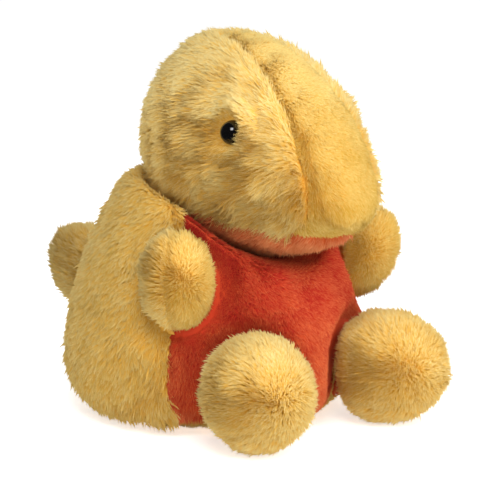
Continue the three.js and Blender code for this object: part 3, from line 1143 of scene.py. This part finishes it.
    def _roots(
        self, form: bpy.types.Object, owners: PanelMap, outside: PanelMap, density: float
    ) -> tuple[Roots, np.ndarray]:
        """Scatters roots over the form, but not where another part lies on it.

        Args:
            form: The part's form.
            owners: Which panel lies where.
            outside: The panels of the other parts.
            density: Roots to a square millimetre.

        Returns:
            The roots, and the number of each one's panel.
        """
        rng = np.random.default_rng(self.seed)
        points, triangles = points_of(form), triangles_of(form)
        ways = normals_at(points, triangles)
        corners = points[triangles]
        edges = corners[:, 1:] - corners[:, :1]
        area = np.linalg.norm(np.cross(edges[:, 0], edges[:, 1]), axis=1) / 2
        count = np.floor(area / MM**2 * density + rng.uniform(size=len(area))).astype(int)
        face = np.repeat(np.arange(len(area)), count)
        first, second = rng.uniform(size=(2, len(face)))
        first = np.sqrt(first)
        share = np.stack([1 - first, first * (1 - second), first * second], 1)[:, :, None]
        spots = (corners[face] * share).sum(1)
        normals = unit((ways[triangles[face]] * share).sum(1))
        outer = spots + normals * self.backing * MM
        owner = owners.at(outer, self.lip * MM)
        middle = spots + normals * 0.5 * self.backing * MM
        hidden = outside.covered(middle, normals, (self.CONTACT + 0.5 * self.backing) * MM)
        kept = (owner != PanelMap.NONE) & ~hidden & ~outside.holds(outer)
        spots, normals, owner = spots[kept], normals[kept], owner[kept]
        tree = self._seam_line(form, owners)
        found = [tree.find(spot) for spot in spots]
        seam_gap = np.array([gap for _, _, gap in found])
        toward = unit(np.array([place for place, _, _ in found]) - spots)
        trim, push, kept = self._round_bare_spots(spots)
        lap = np.array([panel.lap for panel in self.panels()])[owner]
        push += toward * (lap * (1 - np.clip(seam_gap / (self.SEAM_REACH * MM), 0, 1)))[:, None]
        room = outside.room_over(spots + normals * self.backing * MM, self.CROWDING * MM)
        trim *= self.growth(spots) * (self.crowded + (1 - self.crowded) * room)
        paleness = self.paleness(spots, normals)
        roots = Roots(spots, normals, seam_gap, trim, push, paleness)
        return roots.where(kept), owner[kept]

    def growth(self, points: np.ndarray) -> np.ndarray:
        """The share of its panel's full length that the pile has at these roots."""
        return np.ones(len(points))

    def paleness(self, points: np.ndarray, normals: np.ndarray) -> np.ndarray:
        """What is added to the tone of the fibres at these roots: painted light, paler on top and behind."""
        upward, backward = normals[:, 2].clip(0, 1), normals[:, 1].clip(0, 1)
        # Painted light: the pile is made paler where it faces up and where it faces back.
        return self.tone + self.worn_top * upward + self.worn_back * backward

    def _round_bare_spots(self, points: np.ndarray) -> tuple[np.ndarray, np.ndarray, np.ndarray]:
        """How the part's bare spots change the pile round them.

        Args:
            points: The roots.

        Returns:
            Each root's share of the full length, the way it is pressed, and whether it stays.
        """
        trim = np.ones(len(points))
        push = np.zeros_like(points)
        kept = np.ones(len(points), bool)
        for spot in self.bare_spots:
            away = points - np.array(spot.middle)
            gap = np.linalg.norm(away, axis=1) / MM
            share = np.clip((gap - spot.bare) / (spot.clipped - spot.bare), 0, 1)
            trim = np.minimum(trim, self.SPOT_TRIM + (1 - self.SPOT_TRIM) * share)
            push += self.SPOT_PUSH * unit(away) * (1 - share)[:, None]
            kept &= gap > spot.bare
        return trim, push, kept

    def _panel(
        self, backing: bpy.types.Object, panel: PlushPanel, index: int, roots: Roots, owner: np.ndarray
    ) -> None:
        """Grows one panel's pile and makes it one piece with its backing."""
        rng = np.random.default_rng(self.seed + 10 + index)
        densest = max(p.pile.density for p in self.panels())
        kept = (owner == index) & (rng.uniform(size=len(owner)) < panel.pile.density / densest)
        mine = roots.where(kept)
        mine.paleness += panel.paleness(mine.points)
        grown = panel.pile.fibres(mine, panel.comb, self.seed + 100 * (index + 1))
        pile = grown.piece(f"{panel.node}_pile")
        piece = joined([pile, backing])
        piece.name = f"plush_{panel.node}"
        self._carry(piece)
        dress(piece, panel.finish, panel.node)

    def _backing(self, form: bpy.types.Object, mine: np.ndarray) -> bpy.types.Object:
        """Cuts one panel's backing out of the form and gives it its thickness.

        Args:
            form: The part's form.
            mine: Which of its triangles are the panel's.

        Returns:
            The backing cloth.
        """
        used, faces = np.unique(triangles_of(form)[mine], return_inverse=True)
        points = points_of(form)[used]
        share = (points - points.min(0)) / np.ptp(points, axis=0)
        places = self.BACKING_TONE + share[:, [0, 2]] * self.BACKING_SPREAD
        patch = mesh_piece(f"{self.name}_backing", points, faces.reshape(-1, 3), places)
        apply_modifier(patch, "SOLIDIFY", thickness=self.CLOTH_THICKNESS * MM, offset=-1.0)
        apply_modifier(patch, "TRIANGULATE")
        return patch

    def _fill(self, form: bpy.types.Object) -> None:
        """Makes the part's filling: matted fibre in lumps, clear of the cloth round it."""
        cloth = BVHTree.FromPolygons(points_of(form).tolist(), triangles_of(form).tolist())
        lump = merged_copy(f"fibre_{self.filling}", [self.filling])
        apply_modifier(lump, "REMESH", mode="VOXEL", voxel_size=self.FILL_GRAIN * MM)
        apply_modifier(lump, "SMOOTH", factor=self.SMOOTH_STEP, iterations=self.FILL_SMOOTHING)
        points = points_of(lump)
        way = normals_at(points, triangles_of(lump))
        most = self.MOST_LUMP
        lumps = Waves(self.seed + 7, self.LUMP_SIZE).at(points).clip(-most, most)
        points -= way * (self.FILL_LUMPS * (1 - lumps / most))[:, None] * MM
        for index, point in enumerate(points):
            place, out, _, _ = cloth.find_nearest(point)
            if (Vector(point) - place).dot(out) > -self.FILL_CLEARANCE * MM:
                points[index] = place - out * self.FILL_CLEARANCE * MM
        move_points(lump, points)
        lump.data.shade_smooth()
        self._carry(lump)
        dress(lump, FILLING, self.filling)

    def _carry(self, piece: bpy.types.Object) -> None:
        """Makes a piece ride on the part's body, or, where the part has a bend, bakes its place into its
        mesh.
        """
        bend = self.bends()
        if bend is None:
            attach(piece, self.body)
        else:
            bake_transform(piece)


def joint_named(name: str) -> dict:
    """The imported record's joint of this name."""
    return next(joint for joint in frame["joints"] if joint["name"] == name)


@dataclass
class Head(PlushPart):
    """The drooping head: a smooth gusset between two shaggy sides, and a red chin.

    Attributes:
        eye_bare: How far round an eye's middle there is no pile.
        eye_clipped: How far round it the pile is short.
    """

    name: str = "head"
    body: str = "head"
    crowded: float = 0.95
    # Painted light: the head's yellow pile is made a little paler than the body's, which is the same cloth.
    tone: float = 0.05
    filling: str = "head_stuffing"
    level: int = 5
    lip: float = 40.0
    seed: int = 11
    eye_bare: float = 3.9
    eye_clipped: float = 7.5

    CROWN_RISE: ClassVar[tuple[float, float]] = (0.5, 0.88)
    # Painted light from above: the pile is made paler towards the crown.
    CROWN_PALENESS: ClassVar[float] = 0.5
    JAW_RISE: ClassVar[tuple[float, float]] = (0.12, 0.4)
    JAW_GROWTH: ClassVar[float] = 0.4
    SIDE_PILE: ClassVar[Pile] = Pile(length=4.8, lean=54, width=0.2, density=11.4, lock=0.8, gather=0.32)
    GUSSET_PILE: ClassVar[Pile] = Pile(
        length=3.2, lean=46, width=0.22, density=14.0, lock=0.7, gather=0.15, shag=0.07
    )
    CHIN_PILE: ClassVar[Pile] = Pile(length=4.2, lean=44, width=0.26, density=9.0, lock=0.9, gather=0.3)

    def __post_init__(self) -> None:
        """Leaves room in the pile for the eyes."""
        for side in Side:
            eye = SafetyEye(side)
            middle, way = np.array(eye.dome_middle()), eye.way()
            away = points_of(frame["nodes"][f"eye_washer_{side.word}"]) - middle
            along = away @ way
            grip = np.linalg.norm(away - along[:, None] * way, axis=1).max()
            spot = BareSpot(
                tuple(middle), tuple(way), self.eye_bare, self.eye_clipped, grip / MM, -along.max() / MM
            )
            self.bare_spots.append(spot)

    def panels(self) -> list[PlushPanel]:
        """The gusset, the chin and both sides."""
        snout = tuple(spot_in(["head_gusset"], (0.5, 0.12, 0.3)))
        crown = tuple(spot_in(["head_gusset"], (0.5, 1.0, 1.0)))
        found = [
            PlushPanel(
                "head_gusset",
                "plush_smooth_yellow",
                SMOOTH_YELLOW,
                self.GUSSET_PILE,
                Comb(Lie.AWAY, crown),
                tone=-0.25,
            ),
            PlushPanel(
                "chin_panel", "plush_chin", CHIN_RED, self.CHIN_PILE, Comb(Lie.AWAY, snout), lap=0.0
            ),
        ]
        found += [
            PlushPanel(
                f"head_side_{side.word}",
                "plush_yellow",
                YELLOW,
                self.SIDE_PILE,
                Comb(Lie.AWAY, snout, fall=0.45),
            )
            for side in Side
        ]
        return found

    def growth(self, points: np.ndarray) -> np.ndarray:
        """The pile hangs longer along the jaw and over the neck."""
        low, high = (spot_in(["head_side_right"], (0.5, 0.5, share)).z for share in self.JAW_RISE)
        return 1 + self.JAW_GROWTH * (1 - (points[:, 2] - low) / (high - low)).clip(0, 1)

    def paleness(self, points: np.ndarray, normals: np.ndarray) -> np.ndarray:
        """Painted light from above: pale over the crown and deeper in colour down the snout."""
        low, high = (spot_in(["head_gusset"], (0.5, 0.5, share)).z for share in self.CROWN_RISE)
        rise = ((points[:, 2] - low) / (high - low)).clip(0, 1)
        return super().paleness(points, normals) + self.CROWN_PALENESS * rise


@dataclass
class Body(PlushPart):
    """The bell-shaped body: shaggy sides, a short red belly, and the base that it sits on.

    Attributes:
        neck_start: The height at which the neck's bend starts.
        neck_end: The height at which it ends.
    """

    name: str = "body"
    body: str = "body"
    crowded: float = 0.35
    # Painted shade: the body's yellow pile is made darker than the head's, for the shade that its sides lie
    # in.
    tone: float = -0.28
    filling: str = "body_stuffing"
    level: int = 5
    lip: float = 40.0
    seed: int = 23
    neck_start: float = 62.0
    neck_end: float = 80.0

    SIDE_PILE: ClassVar[Pile] = Pile(length=5.2, lean=58, width=0.23, density=9.1, lock=0.9, gather=0.34)
    BELLY_PILE: ClassVar[Pile] = Pile(
        length=3.2, lean=36, width=0.22, density=12.0, lock=0.7, gather=0.2, shag=0.08
    )
    BASE_PILE: ClassVar[Pile] = Pile(length=1.6, lean=40, width=0.6, density=2.6)
    HEM_TOP: ClassVar[float] = 16.0
    HEM_GROWTH: ClassVar[float] = 0.5

    def panels(self) -> list[PlushPanel]:
        """The base, the belly and both sides, which are combed down from the neck."""
        neck = tuple(spot_in(["body_side_right", "body_side_left"], (0.5, 0.2, 1.1)))
        drape = Comb(Lie.AWAY, neck, fall=0.35)
        found = [
            PlushPanel(
                "base_panel", "plush_yellow", YELLOW, self.BASE_PILE, Comb(Lie.AWAY, (0.0, 0.0, 0.0))
            ),
            PlushPanel(
                "belly_panel",
                "plush_red",
                RED,
                self.BELLY_PILE,
                Comb(Lie.ALONG, (0.0, -0.3, -1.0)),
                # Painted shade: the belly is darker at its top, where the chin shadows it.
                fade=0.8,
                lap=0.0,
            ),
        ]
        for side in Side:
            node = f"body_side_{side.word}"
            found.append(PlushPanel(node, "plush_yellow", YELLOW, self.SIDE_PILE, drape))
        return found

    def growth(self, points: np.ndarray) -> np.ndarray:
        """The pile hangs longer at the hem, over the edge of the base."""
        return 1 + self.HEM_GROWTH * (1 - points[:, 2] / (self.HEM_TOP * MM)).clip(0, 1)

    def bends(self) -> Bend:
        """The neck's bend, from the body to the head."""
        return Bend("body", "head", (0, 0, self.neck_start * MM), (0, 0, self.neck_end * MM))


@dataclass
class Limb(PlushPart):
    """A part that flops about its sewn root.

    Attributes:
        joint: The joint at its root.
        root_reach: How far out from the joint the root still bends.
    """

    joint: str = ""
    root_reach: float = 7.0

    def outward(self) -> tuple[Vector, Vector]:
        """The joint's place, and the level way out from the body there."""
        place = Vector(joint_named(self.joint)["pos_m"])
        middle = spot_in(["body_side_right", "body_side_left", "belly_panel"], (0.5, 0.5, 0.5))
        way = Vector((place.x - middle.x, place.y - middle.y, 0.0)).normalized()
        return place, way

    def bends(self) -> Bend:
        """The limb's bend, from the body at its root to the limb's own body beyond."""
        place, way = self.outward()
        return Bend("body", self.body, tuple(place - way * MM), tuple(place + way * self.root_reach * MM))


@dataclass
class PairedLimb(Limb):
    """A limb that the toy has on both sides.

    Attributes:
        side: Which of the two it is.
    """

    side: Side = Side.RIGHT

    KIND: ClassVar[str]
    MOTION: ClassVar[str]
    FIRST_SEED: ClassVar[int]

    @classmethod
    def on(cls, side: Side) -> "PairedLimb":
        """The limb on one side of the toy."""
        name = f"{cls.KIND}_{side.word}"
        return cls(
            name,
            name,
            f"{name}_stuffing",
            seed=cls.FIRST_SEED + side.value,
            joint=f"{name}_{cls.MOTION}",
            side=side,
        )


@dataclass
class Arm(PairedLimb):
    """A paddle arm, in an inner and an outer half."""

    KIND: ClassVar[str] = "arm"
    MOTION: ClassVar[str] = "swing"
    FIRST_SEED: ClassVar[int] = 31
    PILE: ClassVar[Pile] = Pile(length=4.2, lean=44, width=0.24, density=10.0, lock=0.9, gather=0.35)
    SMOOTH_PILE: ClassVar[Pile] = Pile(length=3.4, lean=36, width=0.22, density=12.0, lock=0.8, gather=0.25)

    def panels(self) -> list[PlushPanel]:
        """The arm's two halves, combed out from the middle of its front."""
        halves = [f"{self.name}_inner", f"{self.name}_outer"]
        front = tuple(spot_in(halves, (0.5 - 0.1 * self.side.value, 0.0, 0.5)))
        comb = Comb(Lie.AWAY, front, crown=11.0)
        return [
            PlushPanel(halves[0], "plush_yellow", SMOOTH_YELLOW, self.SMOOTH_PILE, comb),
            PlushPanel(halves[1], "plush_yellow", YELLOW, self.PILE, comb),
        ]


@dataclass
class Foot(PairedLimb):
    """A round foot that sticks out in front, in a sole and an upper."""

    KIND: ClassVar[str] = "foot"
    MOTION: ClassVar[str] = "flex"
    FIRST_SEED: ClassVar[int] = 41
    UPPER_PILE: ClassVar[Pile] = Pile(length=4.0, lean=42, width=0.24, density=10.5, lock=0.9, gather=0.35)
    SOLE_PILE: ClassVar[Pile] = Pile(length=4.2, lean=50, width=0.34, density=6.0)

    def panels(self) -> list[PlushPanel]:
        """The foot's two panels, combed out from the crown at its front."""
        both = [f"{self.name}_sole", f"{self.name}_upper"]
        crown = tuple(spot_in(both, (0.5 - 0.1 * self.side.value, 0.0, 0.6)))
        comb = Comb(Lie.AWAY, crown, crown=14.0)
        return [
            PlushPanel(both[0], "plush_yellow", YELLOW, self.SOLE_PILE, comb),
            PlushPanel(both[1], "plush_yellow", YELLOW, self.UPPER_PILE, comb),
        ]


@dataclass
class Tail(Limb):
    """The stub of a tail, in two halves."""

    name: str = "tail"
    body: str = "tail"
    filling: str = "tail_stuffing"
    seed: int = 53
    joint: str = "tail_flex"

    PILE: ClassVar[Pile] = Pile(length=5.0, lean=50, width=0.25, density=9.5, lock=1.0, gather=0.4)

    def panels(self) -> list[PlushPanel]:
        """The tail's two halves, combed to its end."""
        halves = ["tail_right_half", "tail_left_half"]
        root = tuple(spot_in(halves, (0.5, -0.1, 0.2)))
        comb = Comb(Lie.AWAY, root)
        return [PlushPanel(half, "plush_yellow", YELLOW, self.PILE, comb) for half in halves]


# ---------------------------------------------------------------- eyes, washers, bean bag


@dataclass
class SafetyEye:
    """A glossy black dome on a ribbed stem, which a washer locks inside the head.

    Attributes:
        side: Which of the two eyes.
        rim: How far the dome's rim is rounded.
        rib_pitch: How far apart the stem's ribs are.
    """

    side: Side
    rim: float = 0.45
    rib_pitch: float = 1.0

    ROUNDS: ClassVar[int] = 4
    END_DEPTH: ClassVar[float] = 0.2
    TOP_DEPTH: ClassVar[float] = 0.05
    STEM_DEPTH: ClassVar[float] = 0.3
    RIM_SHARE: ClassVar[float] = 0.6
    RIB_WAIST: ClassVar[float] = 0.86

    def node(self) -> str:
        """The eye's CAD node."""
        return f"eye_{self.side.word}"

    def axis(self) -> tuple[np.ndarray, np.ndarray]:
        """The middle of the stem's end, and the middle of the dome's top."""
        points = points_of(frame["nodes"][self.node()])
        way = np.array([float(self.side.value), 0.0, 0.0])
        for _ in range(self.ROUNDS):
            along = points @ way
            inner = points[along < along.min() + self.END_DEPTH * MM].mean(0)
            outer = points[along > along.max() - self.TOP_DEPTH * MM].mean(0)
            way = unit(outer - inner)
        return inner, outer

    def way(self) -> np.ndarray:
        """The unit way that the eye looks."""
        inner, outer = self.axis()
        return unit(outer - inner)

    def dome_middle(self) -> Vector:
        """The middle of the dome's rim."""
        inner, outer = self.axis()
        return Vector(outer - unit(outer - inner) * self.RIM_SHARE * self.dome_radius())

    def dome_radius(self) -> float:
        """The dome's radius in metres, from its solid."""
        points = points_of(frame["nodes"][self.node()])
        inner, outer = self.axis()
        way = unit(outer - inner)
        off = points - inner
        return float(np.linalg.norm(off - (off @ way)[:, None] * way, axis=1).max())

    def build(self) -> None:
        """Turns the eye's outline about its axis."""
        inner, outer = self.axis()
        way = Vector(outer - inner)
        length = way.length
        radius = self.dome_radius()
        points = points_of(frame["nodes"][self.node()])
        off = points - inner
        along = off @ np.array(way.normalized())
        across = np.linalg.norm(off - along[:, None] * np.array(way.normalized()), axis=1)
        stem = float(across[along < self.STEM_DEPTH * MM].max())
        back = float(along[across > radius - self.TOP_DEPTH * MM].min())
        dome = primitive(
            f"glossy_{self.node()}",
            bpy.ops.mesh.primitive_uv_sphere_add,
            segments=48,
            ring_count=24,
            radius=radius,
        )
        shape = points_of(dome)
        rise = length - back
        flat = shape[:, 2] < 0
        shape[:, 2] = np.where(flat, shape[:, 2] * self.rim * MM / radius, shape[:, 2] * rise / radius)
        shape[:, 2] += back
        move_points(dome, shape)
        shank = primitive(
            f"{self.node()}_stem",
            bpy.ops.mesh.primitive_cylinder_add,
            vertices=24,
            radius=stem,
            depth=back,
            location=(0, 0, back / 2),
        )
        self._rib(shank, back)
        joined([dome, shank])
        turned = way.to_track_quat("Z", "Y").to_matrix().to_4x4()
        dome.data.transform(turned)
        move_points(dome, points_of(dome) + inner)
        dome.data.shade_smooth()
        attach(dome, "head")
        dress(dome, EYE_BLACK, self.node())

    def _rib(self, shank: bpy.types.Object, length: float) -> None:
        """Cuts the stem into rings and draws every second ring in."""
        work_on(shank)
        bpy.ops.object.transform_apply(location=True, rotation=False, scale=False)
        rings = max(2, int(length / (0.5 * self.rib_pitch * MM)))
        bpy.ops.object.mode_set(mode="EDIT")
        for ring in range(1, rings):
            bpy.ops.mesh.select_all(action="SELECT")
            bpy.ops.mesh.bisect(plane_co=(0, 0, length * ring / rings), plane_no=(0, 0, 1))
        bpy.ops.object.mode_set(mode="OBJECT")
        points = points_of(shank)
        ring = np.rint(points[:, 2] * rings / length).astype(int)
        slim = np.where((ring % 2 == 1) & (ring < rings), self.RIB_WAIST, 1.0)
        points[:, :2] *= slim[:, None]
        move_points(shank, points)


@dataclass
class LockWasher:
    """The white nylon washer that grips an eye's stem."""

    side: Side

    EDGE: ClassVar[float] = 0.12
    SMOOTH_UNDER: ClassVar[float] = 35.0

    def build(self) -> None:
        """Gives the washer its own rounded edges and finish."""
        node = f"eye_washer_{self.side.word}"
        washer = merged_copy(f"nylon_{node}", [node])
        apply_modifier(washer, "BEVEL", width=self.EDGE * MM, segments=2, limit_method="ANGLE")
        work_on(washer)
        bpy.ops.object.shade_smooth_by_angle(angle=math.radians(self.SMOOTH_UNDER))
        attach(washer, "head")
        dress(washer, WASHER_WHITE, node)


@dataclass
class BeanBag:
    """The cotton bag in the seat, in two puckered halves, and the beans in it.

    Attributes:
        bean: A bean's radius.
        pitch: How far apart the beans lie.
        layer: How far apart their layers are.
        pucker: How deep the bag's puckers are.
        cloth: The cotton's thickness.
    """

    bean: float = 1.9
    pitch: float = 4.3
    layer: float = 3.6
    pucker: float = 0.5
    cloth: float = 0.4
    seed: int = 61

    HALVES: ClassVar[tuple[str, str]] = ("bean_bag_upper", "bean_bag_lower")
    SEAM_GAP: ClassVar[float] = 0.1
    DRAWN_IN: ClassVar[float] = 0.5
    FOLD_SWING: ClassVar[float] = 0.4
    FOLDS: ClassVar[int] = 34
    FOLD_REACH: ClassVar[float] = 4.0
    SAG_SIZE: ClassVar[float] = 10.0
    FLATNESS: ClassVar[float] = 0.72
    BEAN_EDGE: ClassVar[float] = 0.35
    CLEARANCE: ClassVar[float] = 0.6
    ROW_SHIFT: ClassVar[float] = 0.5
    LAYER_SHIFT: ClassVar[float] = 0.3
    JITTER: ClassVar[float] = 0.1
    MAP_WIDTH: ClassVar[float] = 0.2

    def build(self) -> None:
        """Makes both halves of the bag and fills them."""
        low, high = node_corners(list(self.HALVES))
        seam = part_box(self.HALVES[1])[1].z
        for node, keep_above in zip(self.HALVES, (True, False), strict=True):
            self._half(node, low, high, seam, keep_above)
        self._beans()

    def _half(self, node: str, low: Vector, high: Vector, seam: float, keep_above: bool) -> None:
        """Makes one half of the bag, gathered into its seam."""
        half = primitive(
            f"cotton_{node}",
            bpy.ops.mesh.primitive_uv_sphere_add,
            segments=96,
            ring_count=48,
            radius=1.0,
            location=(low + high) / 2,
            scale=(high - low) / 2,
        )
        bpy.ops.object.transform_apply(location=True, rotation=False, scale=True)
        bpy.ops.object.mode_set(mode="EDIT")
        bpy.ops.mesh.select_all(action="SELECT")
        edge = seam + (self.SEAM_GAP if keep_above else -self.SEAM_GAP) * MM
        bpy.ops.mesh.bisect(
            plane_co=(0, 0, edge), plane_no=(0, 0, 1), clear_inner=keep_above, clear_outer=not keep_above
        )
        bpy.ops.object.mode_set(mode="OBJECT")
        points = points_of(half)
        way = normals_at(points, triangles_of(half))
        middle = (low + high) / 2
        angle = np.arctan2(points[:, 1] - middle.y, points[:, 0] - middle.x)
        near = np.exp(-np.abs(points[:, 2] - seam) / (self.FOLD_REACH * MM))
        folds = near * np.sin(angle * self.FOLDS) + 0.5 * Waves(self.seed, self.SAG_SIZE).at(points)
        inward = self.pucker * MM * (self.DRAWN_IN + self.FOLD_SWING * folds)
        move_points(half, points - way * inward[:, None])
        apply_modifier(half, "SOLIDIFY", thickness=self.cloth * MM, offset=-1.0)
        half.data.shade_smooth()
        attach(half, "body")
        dress(half, BAG_COTTON, node)

    def _beans(self) -> None:
        """Lays the beans in layers inside the bag, each turned its own way."""
        rng = np.random.default_rng(self.seed)
        low, high = (np.array(corner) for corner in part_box("beans"))
        middle, half = (low + high) / 2, (high - low) / 2 - (self.bean + self.CLEARANCE) * MM
        bean = primitive(
            "bean", bpy.ops.mesh.primitive_ico_sphere_add, subdivisions=1, radius=self.bean * MM
        )
        bean.scale = (1.0, 1.0, self.FLATNESS)
        bpy.ops.object.transform_apply(location=False, rotation=False, scale=True)
        apply_modifier(bean, "BEVEL", width=self.BEAN_EDGE * MM, segments=1)
        shape, faces = points_of(bean), triangles_of(bean)
        bpy.data.objects.remove(bean)
        points, triangles = [], []
        pitch = np.array([self.pitch, self.pitch, self.layer])
        steps = [range(-most, most + 1) for most in np.ceil(half / (pitch * MM)).astype(int)]
        for layer, row, column in product(*reversed(steps)):
            shift = np.array([self.ROW_SHIFT * (row % 2) + self.LAYER_SHIFT * (layer % 2), 0.0, 0.0])
            spot = (np.array([column, row, layer]) + shift) * pitch * MM
            if np.sum((spot / half) ** 2) > 1:
                continue
            turn, _ = np.linalg.qr(rng.normal(size=(3, 3)))
            turn *= np.sign(np.linalg.det(turn))
            triangles.append(faces + len(points) * len(shape))
            shaken = rng.uniform(-self.JITTER, self.JITTER, 3) * MM
            points.append(shape @ turn + middle + spot + shaken)
        points, triangles = np.concatenate(points), np.concatenate(triangles)
        beans = mesh_piece("plastic_beans", points, triangles, points[:, :2] / self.MAP_WIDTH + 0.5)
        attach(beans, "body")
        dress(beans, BEAN_WHITE, "beans")


# ---------------------------------------------------------------- studio


@dataclass
class Studio:
    """The camera, the pale floor and the soft lights.

    Attributes:
        azimuth: The camera's turn round the toy, in degrees.
        elevation: Its height over the horizon, in degrees.
        distance: How far it stands from what it looks at.
        focal: Its lens in millimetres.
        film: Its sensor's width in millimetres.
        view_range: The nearest and furthest that it sees, in metres.
        aim: The point on the toy's axis that it was set by.
        slide: How far right of and above that point it looks.
        floor_size: The floor's side.
        floor_drop: How far under the toy it lies.
        room_light: How bright the room is.
        mirrored_room: How bright the room is where glossy things mirror it.
        floor_glow: How strongly the floor glows by itself.
    """

    azimuth: float = -40.0
    elevation: float = 10.0
    distance: float = 700.0
    focal: float = 168.0
    film: float = 36.0
    view_range: tuple[float, float] = (0.05, 20.0)
    aim: Point = (0.0, 0.0, 60.0)
    slide: tuple[float, float] = (7.8, -7.2)
    floor_size: float = 6000.0
    floor_drop: float = 0.1
    room_light: float = 0.5
    mirrored_room: float = 0.06
    floor_glow: float = 0.58

    def build(self) -> None:
        """Sets up the whole studio."""
        self._camera()
        self._floor()
        self._world()
        self._light("key", (12.0, 32.0), 700.0, 0.6, 3.4)
        self._light("front", (-42.0, 42.0), 700.0, 0.26, 2.2, mirrored=True)
        self._light("low", (-25.0, 8.0), 800.0, 0.6, 1.4)
        self._light("rim", (150.0, 35.0), 700.0, 0.5, 0.8)
        bpy.context.scene.view_settings.view_transform = "Standard"

    def _way(self, azimuth: float, elevation: float) -> Vector:
        """The unit way from the toy to something at this azimuth and elevation."""
        a, e = math.radians(azimuth), math.radians(elevation)
        return Vector((math.sin(a) * math.cos(e), -math.cos(a) * math.cos(e), math.sin(e)))

    def _camera(self) -> None:
        """Stands the camera in front of the toy's right side."""
        back = self._way(self.azimuth, self.elevation)
        right = Vector((0, 0, 1)).cross(back).normalized()
        above = back.cross(right)
        target = Vector(self.aim) * MM
        looked_at = target + (right * self.slide[0] + above * self.slide[1]) * MM
        data = bpy.data.cameras.new("camera")
        data.lens = self.focal
        data.sensor_width = self.film
        data.clip_start, data.clip_end = self.view_range
        camera = bpy.data.objects.new("camera", data)
        camera.location = target + back * self.distance * MM
        camera.rotation_mode = "QUATERNION"
        camera.rotation_quaternion = (looked_at - camera.location).to_track_quat("-Z", "Y")
        bpy.context.scene.collection.objects.link(camera)
        bpy.context.scene.camera = camera

    def _floor(self) -> None:
        """Lays a plain pale floor under the toy."""
        floor = primitive(
            "studio_floor",
            bpy.ops.mesh.primitive_plane_add,
            size=self.floor_size * MM,
            location=(0, 0, -self.floor_drop * MM),
        )
        board = Board("studio_floor")
        board.set(Base_Color=linear("#fbfbfa"), Roughness=0.7, Emission_Strength=self.floor_glow)
        board.set(Emission_Color=linear("#ffffff"))
        floor.data.materials.append(board.material)
        floor.visible_glossy = False

    def _world(self) -> None:
        """Fills the room with even white light."""
        world = bpy.data.worlds.new("studio")
        world.use_nodes = True
        nodes, links = world.node_tree.nodes, world.node_tree.links
        background = nodes["Background"]
        background.inputs["Color"].default_value = linear("#ffffff")
        rays = nodes.new("ShaderNodeLightPath")
        lit, seen = nodes.new("ShaderNodeMapRange"), nodes.new("ShaderNodeMapRange")
        lit.inputs["To Min"].default_value = self.room_light
        lit.inputs["To Max"].default_value = self.mirrored_room
        links.new(rays.outputs["Is Glossy Ray"], lit.inputs["Value"])
        seen.inputs["To Max"].default_value = 1.0
        links.new(rays.outputs["Is Camera Ray"], seen.inputs["Value"])
        links.new(lit.outputs[0], seen.inputs["To Min"])
        links.new(seen.outputs[0], background.inputs["Strength"])
        bpy.context.scene.world = world

    def _light(
        self,
        name: str,
        way: tuple[float, float],
        distance: float,
        size: float,
        power: float,
        mirrored: bool = False,
    ) -> None:
        """Hangs one square white light that faces the toy.

        Args:
            name: The light's name.
            way: Its azimuth and elevation from the toy, in degrees.
            distance: How far off it hangs.
            size: Its side in metres.
            power: Its power in watts.
            mirrored: Whether glossy things mirror it.
        """
        data = bpy.data.lights.new(name, "AREA")
        data.size = size
        data.energy = power
        lamp = bpy.data.objects.new(name, data)
        back = self._way(*way)
        lamp.location = Vector(self.aim) * MM + back * distance * MM
        lamp.rotation_mode = "QUATERNION"
        lamp.rotation_quaternion = (-back).to_track_quat("-Z", "Y")
        lamp.visible_glossy = mirrored
        bpy.context.scene.collection.objects.link(lamp)


def main() -> None:
    """Builds the studio and then each part of the toy."""
    logging.basicConfig(level=logging.INFO, format="%(message)s")
    Studio().build()
    for side in Side:
        SafetyEye(side).build()
        LockWasher(side).build()
    Head().build()
    Body().build()
    for side in Side:
        Arm.on(side).build()
        Foot.on(side).build()
    Tail().build()
    BeanBag().build()


if __name__ == "__main__":
    main()
